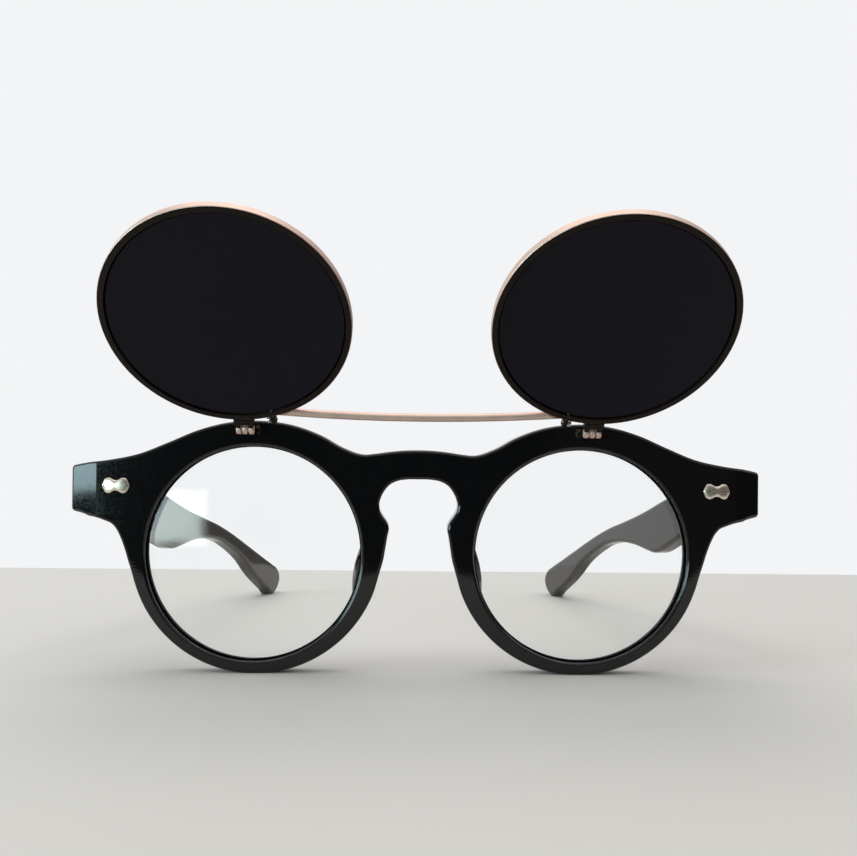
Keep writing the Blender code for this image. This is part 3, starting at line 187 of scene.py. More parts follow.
FLIP_HINGE_FROM_CENTRE = EYE_X + FLIP_HINGE_OUTSIDE_EYE
FLIP_AXIS_HEIGHT = BROW_TOP - FLIP_AXIS_BELOW_BROW
SUN_RIM_RADIUS = EYE_RADIUS + SUN_RIM_OVER_EYE
SUN_FROM_CENTRE = EYE_X + SUN_OUTSIDE_EYE
print("sun rims are %.1f mm across" % (2 * SUN_RIM_RADIUS / MM))

# %% [markdown]
# ## Where the frame holds each part
#
# The joints say where the hinges are and how far the front leans. The lean is read from the
# temples' hinge axis, the front's own origin from the flip axis, and the angle of the lifted
# lenses from the end of that joint's range. Nothing is placed by eye.

# %% Frames of the front, the flip-up pair and the temples
fold_axis = Vector(joints["left_temple_fold"]["axis"])
flip_joint = joints["flip_up"]
lean = math.atan2(-fold_axis.y, fold_axis.z)
flip_in_front = Vector((0.0, -FLIP_AXIS_FROM_FACE, FLIP_AXIS_HEIGHT))
tilt = Matrix.Rotation(lean, 4, "X")
front_origin = Vector(flip_joint["pos_m"]) - tilt.to_3x3() @ flip_in_front
FRONT = Matrix.Translation(front_origin) @ tilt
raised = math.radians(flip_joint["range_deg"][1])
FLIP = FRONT @ Matrix.Translation(flip_in_front) @ Matrix.Rotation(-raised, 4, "X")
print("lean %.2f degrees, lenses raised %.1f degrees" % (math.degrees(lean), math.degrees(raised)))

# %% [markdown]
# ## Camera
#
# The photograph was taken close up, from just in front of the glasses and a little above their
# middle, so the far temples look short and the lifted lenses look large. A camera with the same
# place, turn and angle of view is worked out from those few sizes.

# %% Camera at the photograph's place
CAMERA_FROM_FRONT = Vector((-2.34 * MM, -180.22 * MM, 39.35 * MM))
CAMERA_YAW = math.radians(1.357)
CAMERA_PITCH = math.radians(3.57)
CAMERA_ROLL = math.radians(0.62)
# The focal length as a share of the picture's width of 857 pixels.
CAMERA_LENS_SHARE = 868.3 / 857
SENSOR_WIDTH = 36.0
CAMERA_NEAREST = 10 * MM


def add_camera():
    """A camera that looks along +Y, turned by its yaw, pitch and roll."""
    data = bpy.data.cameras.new("camera")
    data.sensor_fit = "HORIZONTAL"
    data.sensor_width = SENSOR_WIDTH
    data.lens = SENSOR_WIDTH * CAMERA_LENS_SHARE
    data.clip_start = CAMERA_NEAREST
    camera = bpy.data.objects.new("camera", data)
    bpy.context.scene.collection.objects.link(camera)
    look = Matrix.Rotation(-CAMERA_YAW, 4, "Z") @ Matrix.Rotation(QUARTER + CAMERA_PITCH, 4, "X")
    turn = look @ Matrix.Rotation(CAMERA_ROLL, 4, "Z")
    camera.matrix_world = Matrix.Translation(front_origin + CAMERA_FROM_FRONT) @ turn
    return camera


bpy.context.scene.camera = add_camera()
bpy.context.scene.view_settings.view_transform = "Standard"
print("camera at", [round(value / MM, 1) for value in bpy.context.scene.camera.location])

# %% [markdown]
# ## Nodes and colours
#
# Colours are written as the hex values that a paint program shows, and one function turns them
# into the linear values that the shaders work in. One more function adds any node, in a material
# or in Geometry Nodes, with its settings and its links.

# %% Helpers for nodes
def linear(hex_colour, alpha=1.0):
    """An sRGB hex colour as the linear colour of a shader's socket, by the standard's own formula."""
    parts = [int(hex_colour[place:place + 2], 16) / 255 for place in (0, 2, 4)]
    curved = [((part + 0.055) / 1.055) ** 2.4 if part > 0.04045 else part / 12.92 for part in parts]
    return curved + [alpha]


def feed(node, inputs):
    """Give each named or numbered input a value, a socket, or a node whose first output it takes."""
    for key, value in inputs.items():
        if isinstance(value, bpy.types.Node):
            value = next(socket for socket in value.outputs if socket.enabled)
        if isinstance(value, bpy.types.NodeSocket):
            node.id_data.links.new(value, node.inputs[key])
        else:
            node.inputs[key].default_value = value


def add_node(tree, kind, inputs, **settings):
    """Add a node with its settings and feed its inputs."""
    node = tree.nodes.new(kind)
    for name, value in settings.items():
        setattr(node, name, value)
    feed(node, inputs)
    return node


print("a grey of hex 808080 is %.3f in linear light" % linear("808080")[0])

# %% [markdown]
# ## Floor, world and lamps
#
# The floor is a plain pale board. The world is white where the camera looks and behind the
# glasses, and dim in front of them, because the room behind the photographer was dark: it is what
# keeps polished black acetate black. Higher up the room is lighter, which gives round metal its
# bright back. Two windows on the viewer's left show in the bevelled end piece, in the small plate
# and in the left lens.

# %% World
WALL_COLOUR = "F3F4F6"
ROOM_COLOUR = "2A2C2E"
# How much of the white wall a mirror sees by direction: the direction's axis, where the change
# begins and ends along it, and the share of white before and after it.
WALL_SHARES = {
    "behind": ("Y", -0.25, 0.3, 0.0, 1.0),
    "beside": ("X", 0.1, 0.4, 1.0, 0.15),
    "below": ("Z", -0.3, -0.05, 0.2, 1.0),
    "above": ("Z", -0.02, 0.6, 0.0, 0.7),
}


def build_world():
    """White to the camera and through the lenses; mirrored, it is dim in front, at the right and below."""
    world = bpy.data.worlds.new("studio")
    bpy.context.scene.world = world
    world.use_nodes = True
    tree = world.node_tree
    tree.nodes.clear()
    path = add_node(tree, "ShaderNodeLightPath", {})
    sight = add_node(tree, "ShaderNodeTexCoord", {}).outputs["Generated"]
    split = add_node(tree, "ShaderNodeSeparateXYZ", {"Vector": sight})
    share = {}
    for part, (axis, begin, end, before, after) in WALL_SHARES.items():
        share[part] = add_node(tree, "ShaderNodeMapRange", {
            "Value": split.outputs[axis], "From Min": begin, "From Max": end,
            "To Min": before, "To Max": after,
        }, interpolation_type="SMOOTHSTEP")
    white = share["behind"]
    steps = (
        ("MULTIPLY", share["beside"]), ("MULTIPLY", share["below"]), ("MAXIMUM", share["above"]),
        ("MAXIMUM", path.outputs["Is Camera Ray"]), ("MAXIMUM", path.outputs["Is Transmission Ray"]),
    )
    for operation, other in steps:
        white = add_node(tree, "ShaderNodeMath", {0: white, 1: other}, operation=operation)
    colour = add_node(tree, "ShaderNodeMix", {
        "Factor": white, "A": linear(ROOM_COLOUR), "B": linear(WALL_COLOUR),
    }, data_type="RGBA")
    light = add_node(tree, "ShaderNodeBackground", {"Color": colour, "Strength": 1.0})
    add_node(tree, "ShaderNodeOutputWorld", {"Surface": light})


build_world()
print("world: wall", WALL_COLOUR, "room", ROOM_COLOUR)

# %% Lamps
def soft_lamp(name, place, target, width, height, radiance, colour):
    """A camera-invisible soft box that faces the target; radiance 1 shows as white in a mirror."""
    data = bpy.data.lights.new(name, "AREA")
    data.shape = "RECTANGLE"
    data.size = width
    data.size_y = height
    data.energy = math.pi * width * height * radiance
    data.color = linear(colour)[:3]
    lamp = bpy.data.objects.new(name, data)
    bpy.context.scene.collection.objects.link(lamp)
    towards = Vector(target) - Vector(place)
    lamp.matrix_world = Matrix.Translation(place) @ towards.to_track_quat("-Z", "Y").to_matrix().to_4x4()
    lamp.visible_camera = False
    return lamp


WINDOW_FADE = 0.3


def fade_out(lamp):
    """Let a window fade towards its edges, as through a curtain, over this share of its size."""
    lamp.data.use_nodes = True
    tree = lamp.data.node_tree
    across = add_node(tree, "ShaderNodeNewGeometry", {}).outputs["Parametric"]
    split = add_node(tree, "ShaderNodeSeparateXYZ", {"Vector": across})
    off = []
    for axis in ("X", "Y"):
        past = add_node(tree, "ShaderNodeMath", {0: split.outputs[axis], 1: 0.5}, operation="SUBTRACT")
        off.append(add_node(tree, "ShaderNodeMath", {0: past}, operation="ABSOLUTE"))
    edge = add_node(tree, "ShaderNodeMath", {0: off[0], 1: off[1]}, operation="MAXIMUM")
    fade = add_node(tree, "ShaderNodeMapRange", {
        "Value": edge, "From Min": 0.5 - WINDOW_FADE, "From Max": 0.5, "To Min": 1.0, "To Max": 0.0,
    }, interpolation_type="SMOOTHSTEP")
    feed(tree.nodes["Emission"], {"Strength": fade})


# Name, place, width, height, radiance and colour. All but the ceiling stand upright.
LAMPS = (
    ("side_window", (-1.60, -0.55, 0.28), 0.64, 0.74, 8.0, "CDF0F8"),
    ("front_window", (-0.844, -1.436, -0.035), 0.56, 0.43, 18.0, "D7FAFF"),
    ("warm_wall", (0.75, -1.70, 0.0), 0.90, 0.90, 0.08, "D2A080"),
    ("ceiling", (0.0, -0.1, 1.3), 1.4, 1.2, 1.2, "FFFBF4"),
)
for name, place, width, height, radiance, colour in LAMPS:
    target = (0.0, 0.0, 0.0 if name == "ceiling" else place[2])
    lamp = soft_lamp(name, place, target, width, height, radiance, colour)
    if name == "front_window":
        fade_out(lamp)
print("lamps:", len(LAMPS))

# %% Floor
FLOOR_COLOUR = "DDDAD5"
FLOOR_HALF_WIDTH = 280 * MM
FLOOR_FRONT = -140 * MM
FLOOR_BACK = 160 * MM


def add_floor():
    """A matt board, so that the glasses stand on something and cast a shadow; it ends behind them."""
    material = bpy.data.materials.new("painted_board")
    material.use_nodes = True
    feed(material.node_tree.nodes["Principled BSDF"], {
        "Base Color": linear(FLOOR_COLOUR), "Roughness": 0.7, "Specular IOR Level": 0.2,
    })
    across = (-FLOOR_HALF_WIDTH, FLOOR_HALF_WIDTH)
    corners = [(x, FLOOR_FRONT, 0.0) for x in across] + [(x, FLOOR_BACK, 0.0) for x in across[::-1]]
    mesh = bpy.data.meshes.new("floor")
    mesh.from_pydata(corners, [], [(0, 1, 2, 3)])
    mesh.materials.append(material)
    floor = bpy.data.objects.new("floor", mesh)
    bpy.context.scene.collection.objects.link(floor)


add_floor()
print("floor colour", FLOOR_COLOUR)

# %% [markdown]
# ## Finishes
#
# The front and temples are cellulose acetate, cut from sheet and tumbled in barrels of wooden
# pegs until they shine. Tumbling leaves a deep gloss with a very slight waviness and hair-fine
# marks, so the bump is broad and faint and the roughness changes a little from place to place.

# %% Tumble-polished acetate
def new_finish(name, constants, grains, colours, gloss=None, relief=None):
    """A material whose colour, gloss and relief each follow a noise with grains of a real size.

    A grain is given as its size, its detail and how far it is drawn out along X. The colours, the
    gloss and the relief start with the name of the grain that they follow. The gloss goes on with
    the noise's range and the roughness at its ends, the relief with its strength and its height.
    """
    material = bpy.data.materials.new(name)
    material.use_nodes = True
    tree = material.node_tree
    shader = tree.nodes["Principled BSDF"]
    feed(shader, constants)
    place = add_node(tree, "ShaderNodeTexCoord", {}).outputs["Object"]
    noise = {}
    for grain, (size, detail, stretch) in grains.items():
        drawn = add_node(tree, "ShaderNodeMapping", {"Vector": place, "Scale": (1 / stretch, 1.0, 1.0)})
        noise[grain] = add_node(tree, "ShaderNodeTexNoise", {
            "Vector": drawn, "Scale": 1 / size, "Detail": detail,
        })
    grain, first, second = colours
    feed(shader, {"Base Color": add_node(tree, "ShaderNodeMix", {
        "Factor": noise[grain], "A": linear(first), "B": linear(second),
    }, data_type="RGBA")})
    if gloss:
        grain, low, high, at_low, at_high = gloss
        feed(shader, {"Roughness": add_node(tree, "ShaderNodeMapRange", {
            "Value": noise[grain], "From Min": low, "From Max": high, "To Min": at_low, "To Max": at_high,
        })})
    if relief:
        grain, strength, height = relief
        feed(shader, {"Normal": add_node(tree, "ShaderNodeBump", {
            "Height": noise[grain], "Strength": strength, "Distance": height,
        })})
    return material


# Black acetate has a liquid gloss, faintly wavy, with hair marks that only dull it a little.
ACETATE = new_finish(
    "tumble_polished_acetate", {"IOR": 1.48},
    {"cloud": (6 * MM, 3.0, 1.0), "hair": (0.5 * MM, 4.0, 1.0), "wave": (9 * MM, 1.0, 1.0)},
    colours=("cloud", "0A0A0C", "0E0F0F"), gloss=("hair", 0.3, 0.75, 0.045, 0.11),
    relief=("wave", 0.35, 0.05 * MM),
)
print("finish:", ACETATE.name)

# %% [markdown]
# The clear lenses are cast allyl plastic with an anti-reflection coating: a film a quarter of a
# wave thick, which cuts the reflection to a third and tints what is left. The rest of the light
# goes through. The dark lenses are dyed so deep that nothing behind them shows.

# %% Coated clear lens and smoke-tinted lens
# Coated clear plastic is all but invisible, with a trace of green where it turns away.
CLEAR = new_finish(
    "coated_clear_lens",
    {"IOR": 1.5, "Transmission Weight": 1.0, "Thin Film Thickness": 95.0, "Thin Film IOR": 1.38},
    {"smear": (14 * MM, 2.0, 1.0)},
    colours=("smear", "FFFFFF", "FBFDFC"), gloss=("smear", 0.35, 0.8, 0.0, 0.03),
)
# The ground bevel of a clear lens is frosted; its near-black colour is painted shade from the black groove
# it sits in.
EDGE = new_finish(
    "ground_lens_edge_painted_shade", {"Roughness": 0.6}, {"grit": (0.05 * MM, 2.0, 1.0)},
    colours=("grit", "141516", "1E1F20"),
)
# The dye is so dark that it reads as black with a trace of violet, and the coating keeps it quiet.
SMOKED = new_finish(
    "smoke_tinted_lens", {"IOR": 1.5, "Specular IOR Level": 0.11}, {"dye": (18 * MM, 2.0, 1.0)},
    colours=("dye", "121019", "15131B"), gloss=("dye", 0.35, 0.8, 0.03, 0.07),
)
print("finishes:", CLEAR.name, EDGE.name, SMOKED.name)

# %% [markdown]
# The metal parts are plated. The sun rims, bar and small hinges are rose gold over a blasted
# wire, whose fine grain spreads every light into a soft satin band. The plates on the end pieces
# are paler and brushed along their length. Screws and hinge leaves are nickel over steel.

# %% Plated metals
# Name, the colour where bright and where dull, the size of the marks, how far they are drawn out,
# and the two roughnesses between which they break the light.
PLATED = (
    # Warm pink metal without a hard highlight.
    ("satin_rose_gold_plate", "E6CCBE", "D2B5A7", 0.25 * MM, 1.0, 0.42, 0.54),
    # Pale gold with fine bright streaks along the plate.
    ("brushed_pale_gilt", "EFE6D6", "DACDB9", 0.09 * MM, 30.0, 0.22, 0.4),
    # Cool grey metal with a clear shine and short streaks.
    ("nickel_plated_steel", "C9C8C4", "ABAAA6", 0.15 * MM, 8.0, 0.18, 0.32),
)
ROSE_GOLD, GILT, NICKEL = [
    new_finish(
        name, {"Metallic": 1.0}, {"marks": (size, 4.0, stretch), "worn": (3 * MM, 2.0, 1.0)},
        colours=("worn", bright, dull), gloss=("marks", 0.3, 0.7, low, high),
        relief=("marks", 0.2, 0.01 * MM),
    )
    for name, bright, dull, size, stretch, low, high in PLATED
]
print("finishes:", ROSE_GOLD.name, GILT.name, NICKEL.name)

# %% [markdown]
# The faces of the sun rims, their locks and the leaves of the flip hinges are painted almost
# black over the metal, as painted shade and painted dark reflection. Only the rims' outer wall and
# the barrels keep the bright metal. The dark paint is even, with a soft shine and faint orange peel.

# %% Painted shade on the metal
# Brown-black paint over the metal stands in for its shade and dark reflection, with a quiet, slightly broken
# shine.
SHADE_PAINT = new_finish(
    "brown_painted_shade", {"Specular IOR Level": 0.15},
    {"cloud": (4 * MM, 2.0, 1.0), "peel": (0.3 * MM, 1.0, 1.0)},
    colours=("cloud", "160D09", "1E140D"), gloss=("cloud", 0.3, 0.7, 0.22, 0.34),
    relief=("peel", 0.15, 0.01 * MM),
)
print("finish:", SHADE_PAINT.name)

# %% [markdown]
# ## Tools for shapes
#
# The pieces are drawn the way they are made. Acetate is cut as a flat plate whose edges are then
# rounded, which is what a filled 2D curve with a bevel gives. Lenses are turned from a profile.
# Small holes, seats and slots are cut with exact Booleans.

# %% Helpers for meshes
BENCH = bpy.data.collections.new("bench")
PARTS = bpy.data.collections.new("flip_up_glasses")
for group in (BENCH, PARTS):
    bpy.context.scene.collection.children.link(group)


def mesh_from(bm, name):
    """Turn a bmesh into a mesh with its doubles merged and its faces pointing out."""
    bmesh.ops.remove_doubles(bm, verts=bm.verts, dist=MERGE)
    bmesh.ops.recalc_face_normals(bm, faces=bm.faces)
    mesh = bpy.data.meshes.new(name)
    bm.to_mesh(mesh)
    bm.free()
    return mesh


def on_bench(name, data):
    """An object that only serves to make a shape."""
    thing = bpy.data.objects.new(name, data)
    BENCH.objects.link(thing)
    return thing


def worked(thing, name):
    """The plain mesh that an object's modifiers or curve settings give; the object goes."""
    bpy.context.view_layer.update()
    graph = bpy.context.evaluated_depsgraph_get()
    mesh = bpy.data.meshes.new_from_object(thing.evaluated_get(graph))
    mesh.transform(thing.matrix_world)
    bpy.data.objects.remove(thing, do_unlink=True)
    bm = bmesh.new()
    bm.from_mesh(mesh)
    bpy.data.meshes.remove(mesh)
    return mesh_from(bm, name)


def sided(mesh, sign):
    """A mesh drawn for the left side, or its mirror image for the right."""
    bm = bmesh.new()
    bm.from_mesh(mesh)
    bmesh.ops.scale(bm, vec=(sign, 1.0, 1.0), verts=bm.verts)
    return mesh_from(bm, mesh.name)


print("collections:", BENCH.name, PARTS.name)

# %% Cuts and broken edges
def boolean(mesh, others, operation):
    """The mesh with other meshes cut from it or joined to it, one after another."""
    base = on_bench(mesh.name, mesh)
    helpers = [on_bench(other.name, other) for other in others]
    for helper in helpers:
        modifier = base.modifiers.new(helper.name, "BOOLEAN")
        modifier.operation = operation
        modifier.solver = "EXACT"
        modifier.object = helper
    result = worked(base, mesh.name)
    for helper in helpers:
        bpy.data.objects.remove(helper, do_unlink=True)
    return result


SOFT_STEPS = 2
SOFT_FROM_ANGLE = math.radians(40)


def softened(mesh, width):
    """The mesh with its sharp edges broken by a small bevel, as files and tumbling leave them."""
    thing = on_bench(mesh.name, mesh)
    bevel = thing.modifiers.new("Break edges", "BEVEL")
    bevel.width = width
    bevel.segments = SOFT_STEPS
    bevel.limit_method = "ANGLE"
    bevel.angle_limit = SOFT_FROM_ANGLE
    return worked(thing, mesh.name)


print("edges sharper than %.0f degrees can be broken" % math.degrees(SOFT_FROM_ANGLE))

# %% Basic shapes
def box_mesh(name, low, high):
    """A block between two corners, which is cut, joined or softened into a piece."""
    low = Vector(low)
    high = Vector(high)
    bm = bmesh.new()
    bmesh.ops.create_cube(bm, size=1.0)
    bmesh.ops.scale(bm, vec=high - low, verts=bm.verts)
    bmesh.ops.translate(bm, vec=(low + high) / 2, verts=bm.verts)
    return mesh_from(bm, name)


def soft_box(name, low, high, edge):
    """A block whose edges are broken."""
    return softened(box_mesh(name, low, high), edge)


ROD_SIDES = 48


def rod_mesh(name, radius, start, end):
    """A round rod from one point to another."""
    start = Vector(start)
    end = Vector(end)
    bm = bmesh.new()
    bmesh.ops.create_cone(
        bm, cap_ends=True, segments=ROD_SIDES, radius1=radius, radius2=radius, depth=(end - start).length,
    )
    turn = Vector((0.0, 0.0, 1.0)).rotation_difference(end - start).to_matrix()
    bmesh.ops.rotate(bm, cent=(0.0, 0.0, 0.0), matrix=turn, verts=bm.verts)
    bmesh.ops.translate(bm, vec=(start + end) / 2, verts=bm.verts)
    return mesh_from(bm, name)


TURN_STEPS = 192


def turned_mesh(name, profile, centre):
    """Turn a profile of radius and depth pairs about an axis along Y, closed at both poles."""
    edges = [(index, index + 1) for index in range(len(profile) - 1)]
    mesh = bpy.data.meshes.new(name)
    mesh.from_pydata([(radius, 0.0, -depth) for radius, depth in profile], edges, [])
    turned = on_bench(name, mesh)
    screw = turned.modifiers.new("Turn", "SCREW")
    screw.steps = TURN_STEPS
    screw.render_steps = TURN_STEPS
    screw.use_merge_vertices = True
    screw.merge_threshold = MERGE
    turned.matrix_world = Matrix.Translation(centre) @ Matrix.Rotation(QUARTER, 4, "X")
    return worked(turned, name)


def plate_mesh(name, outlines, thickness, edge_round, edge_steps):
    """A plate with rounded edges: outlines in X and Z, holes the other way round, front at Y zero."""
    curve = bpy.data.curves.new(name, "CURVE")
    curve.dimensions = "2D"
    curve.fill_mode = "BOTH"
    curve.extrude = thickness / 2 - edge_round
    curve.bevel_depth = edge_round
    curve.bevel_resolution = edge_steps
    curve.offset = -edge_round
    for outline in outlines:
        spline = curve.splines.new("POLY")
        spline.points.add(len(outline) - 1)
        for point, (x, z) in zip(spline.points, outline):
            point.co = (x, z, 0.0, 1.0)
        spline.use_cyclic_u = True
    flat = on_bench(name, curve)
    stand_up = Matrix.Rotation(QUARTER, 4, "X")
    flat.matrix_world = Matrix.Translation((0.0, thickness / 2, 0.0)) @ stand_up
    return worked(flat, name)


print("turned pieces have", TURN_STEPS, "steps")

# %% Curves through points
def smooth_loop(points, steps):
    """A closed curve through all the points, with some steps between each two."""
    places = [Vector(point) for point in points]
    following = places[1:] + places[:1]
    spans = [(after - here).length for here, after in zip(places, following)]
    slopes = []
    for index, (here, after) in enumerate(zip(places, following)):
        came = (here - places[index - 1]) / spans[index - 1]
        goes = (after - here) / spans[index]
        weight = spans[index - 1] / (spans[index - 1] + spans[index])
        slopes.append(came * (1 - weight) + goes * weight)
    loop = []
    for index, (here, after) in enumerate(zip(places, following)):
        next_slope = slopes[(index + 1) % len(slopes)]
        for step in range(steps):
            t = step / steps
            bend = slopes[index] * t * (1 - t) ** 2 - next_slope * t ** 2 * (1 - t)
            loop.append(here + (after - here) * t ** 2 * (3 - 2 * t) + bend * spans[index])
    return loop


def arc_points(centre_x, centre_z, radius, first, last, count):
    """Points round an arc, both ends included."""
    turns = [first + (last - first) * index / (count - 1) for index in range(count)]
    return [(centre_x + radius * math.cos(turn), centre_z + radius * math.sin(turn)) for turn in turns]


def placed_shares(shares, x, run, z, rise):
    """Points at shares of a run from one X, and of a rise from one Z."""
    return [(x + run * along, z + rise * up) for along, up in shares]


eighth = arc_points(0.0, 0.0, 1.0, 0.0, QUARTER, 3)[1]
print("half way round a quarter circle: %.3f, %.3f" % eighth)

# %% Pieces in their places
SHARP_ANGLE = math.radians(30)


def add_piece(name, mesh, place, material, body, nodes, sharp=SHARP_ANGLE):
    """Put a finished mesh in its place, on its body and in its material, standing for its nodes."""
    mesh.transform(place)
    mesh.materials.clear()
    mesh.materials.append(material)
    mesh.shade_smooth()
    mesh.set_sharp_from_angle(angle=sharp)
    piece = bpy.data.objects.new(name, mesh)
    PARTS.objects.link(piece)
    settle = piece.modifiers.new("Settle shading", "WEIGHTED_NORMAL")
    settle.keep_sharp = True
    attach(piece, body)
    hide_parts(*nodes)
    print(name, len(mesh.polygons), "faces")
    return piece


def paint(piece, material, faces):
    """Give these faces of a finished piece a second finish."""
    piece.data.materials.append(material)
    for index in faces:
        piece.data.polygons[index].material_index = 1


def faces_round(mesh, centre, axis, nearest, furthest=math.inf):
    """The faces between two distances from a line along X (0) or Y (1) through the left piece's centre."""
    found = []
    for face in mesh.polygons:
        off = Vector((abs(face.center.x), face.center.y, face.center.z)) - Vector(centre)
        off[axis] = 0.0
        if nearest < off.length < furthest:
            found.append(face.index)
    return found


def add_both(kind, word, mesh, place, material, body, second=None, where=()):
    """A piece drawn for the left side and its mirror image, each standing for the node of its side.

    Where there is a second finish, faces_round finds the faces that it takes.
    """
    for side, sign in SIDES:
        node = side + "_" + kind
        own = sided(mesh, sign)
        painted = faces_round(own, *where) if second else []
        carrier = side + "_temple" if body == "temple" else body
        piece = add_piece(node + "_" + word, own, place, material, carrier, [node])
        if painted:
            paint(piece, second, painted)


print("pieces of both sides are drawn once, for the left")

# %% [markdown]
# ## Acetate front
#
# The front is one sheet of acetate 5 mm thick. Its outline runs over the bridge, along the brow
# to the end pieces, round the rings and up into the keyhole over the nose. Half of it is drawn
# through points and mirrored. The eye openings are holes in the same curve, so that every edge
# gets the same soft rounding. The faces of the end pieces are then bevelled back by moving
# points, and the seats of the small metal parts are cut.

# %% Outline of the front
# Bridge crown: shares of the half crown's width and of the crown's rise.
CROWN_SHARES = ((0.0, 1.0), (0.27, 0.91), (0.53, 0.62), (0.79, 0.2), (1.0, 0.0))
# Brow from the crown's end to the ring's top: shares of the run and of the rise.
INNER_BROW_SHARES = ((0.19, 0.19), (0.4, 0.56), (0.68, 0.88), (1.0, 1.0))
# Brow from the ring's top to the end piece: shares of the run and of the fall.
OUTER_BROW_SHARES = (
    (0.158, 0.047), (0.316, 0.22), (0.474, 0.495), (0.63, 0.747), (0.79, 0.884), (0.93, 0.96),
)
# Under the end piece, back to the ring: shares of the run and of the rise from the ring's middle.
END_UNDER_SHARES = (
    (0.83, 0.965), (0.667, 0.889), (0.512, 0.84), (0.4, 0.765), (0.293, 0.675), (0.22, 0.528),
    (0.154, 0.292), (0.081, -0.069), (0.02, -0.444), (-0.033, -0.75),
)
# Nasal side from the ring up to the neck: shares of the run inwards and of the height.
NASAL_SHARES = ((0.6, 0.27), (0.37, 0.53), (0.14, 0.8), (0.0, 0.94))
# Keyhole: shares of its half width and of its height above the neck.
KEYHOLE_SHARES = (
    (0.765, 0.04), (0.815, 0.12), (0.894, 0.21), (0.97, 0.32), (1.0, 0.45), (0.963, 0.595),
    (0.87, 0.75), (0.733, 0.882), (0.547, 0.96), (0.31, 0.995), (0.0, 1.0),
)
# The ring is an arc from this angle below its outer side to this one near the nose.
RING_SIDE_TURN = math.radians(-17)
RING_NASAL_TURN = math.radians(-169)
RING_POINTS = 14
CORNER_POINTS = 4
OUTLINE_STEPS = 6


def front_outline():
    """Half the outline from the bridge's top to the keyhole's top, then its mirror image."""
    crown_z = BRIDGE_TOP - BRIDGE_CROWN
    half = placed_shares(CROWN_SHARES, 0.0, BRIDGE_HALF_CROWN, crown_z, BRIDGE_CROWN)
    run_in = RING_X - BRIDGE_HALF_CROWN
    half += placed_shares(INNER_BROW_SHARES, BRIDGE_HALF_CROWN, run_in, crown_z, BROW_TOP - crown_z)
    run_out = FRONT_HALF_WIDTH - RING_X
    half += placed_shares(OUTER_BROW_SHARES, RING_X, run_out, BROW_TOP, END_TOP - BROW_TOP)
    corner_x = FRONT_HALF_WIDTH - END_CORNER
    side_inset = END_CORNER + END_CORNER / CORNER_POINTS
    half += arc_points(corner_x, END_TOP - END_CORNER, END_CORNER, QUARTER, 0.0, CORNER_POINTS)
    half += [(FRONT_HALF_WIDTH, END_TOP - side_inset), (FRONT_HALF_WIDTH, END_BOTTOM + side_inset)]
    half += arc_points(corner_x, END_BOTTOM + END_CORNER, END_CORNER, 0.0, -QUARTER, CORNER_POINTS)
    ring_side = RING_X + RING_RADIUS
    run_under = FRONT_HALF_WIDTH - ring_side
    half += placed_shares(END_UNDER_SHARES, ring_side, run_under, RING_Z, END_BOTTOM - RING_Z)
    ring = arc_points(RING_X, RING_Z, RING_RADIUS, RING_SIDE_TURN, RING_NASAL_TURN, RING_POINTS)
    nasal_x, nasal_z = ring[-1]
    half += ring
    run_nasal = nasal_x - NECK_HALF_WIDTH
    half += placed_shares(NASAL_SHARES, NECK_HALF_WIDTH, run_nasal, nasal_z, NECK_Z - nasal_z)
    half += placed_shares(KEYHOLE_SHARES, 0.0, KEYHOLE_HALF_WIDTH, NECK_Z, KEYHOLE_HEIGHT)
    mirrored = [(-x, z) for x, z in reversed(half[1:-1])]
    return smooth_loop(half + mirrored, OUTLINE_STEPS)


def eye_outline(sign):
    """An eye opening, drawn the other way round than the outline so that it is a hole."""
    return arc_points(sign * EYE_X, EYE_Z, EYE_RADIUS, 0.0, math.tau, TURN_STEPS + 1)[:-1]


print("outline of %d points" % len(front_outline()))

# %% Depth of the end pieces
def facet_setback(reach):
    """How far the bevelled face of an end piece lies back at a distance from the middle."""
    past = reach - (FRONT_HALF_WIDTH - FACET_WIDTH)
    return max(0.0, past * FACET_SETBACK / FACET_WIDTH)


def front_depth(x, share):
    """Depth of a point of the front, its share 0 on the front face and 1 on the rear face."""
    reach = abs(x)
    step = min(1.0, max(0.0, (reach - STEP_START_X) / (STEP_END_X - STEP_START_X)))
    face = facet_setback(reach)
    rear = FRONT_THICKNESS + (END_DEPTH - FRONT_THICKNESS) * step
    return face + (rear - face) * share


def slice_across(bm, places, normal):
    """Cut edges into a mesh where a plane passes each of the places."""
    for place in places:
        parts = bm.verts[:] + bm.edges[:] + bm.faces[:]
        bmesh.ops.bisect_plane(bm, geom=parts, dist=MERGE / 10, plane_co=place, plane_no=normal)


def shape_front(mesh):
    """Bevel the end pieces' faces back, and thicken them behind where the temples meet them."""
    bm = bmesh.new()
    bm.from_mesh(mesh)
    crease = FRONT_HALF_WIDTH - FACET_WIDTH
    cuts = [sign * x for x in (crease, STEP_START_X, STEP_END_X) for sign in (-1, 1)]
    slice_across(bm, [(x, 0.0, 0.0) for x in cuts], (1.0, 0.0, 0.0))
    for vert in bm.verts:
        vert.co.y = front_depth(vert.co.x, vert.co.y / FRONT_THICKNESS)
    return mesh_from(bm, mesh.name)


turned_back = math.degrees(math.atan2(FACET_SETBACK, FACET_WIDTH))
print("the bevelled faces turn back by %.1f degrees" % turned_back)

# %% Small plates and their seats
PLAQUE_FROM_SIDE = 10.2 * MM
PLAQUE_BELOW_TOP = 4.0 * MM
PLAQUE_LENGTH = 5.5 * MM
PLAQUE_HEIGHT = 3.2 * MM
PLAQUE_THICKNESS = 0.9 * MM
PLAQUE_SUNK = 0.4 * MM
PLAQUE_STEPS = 6
PLAQUE_SEAT_STEPS = 3
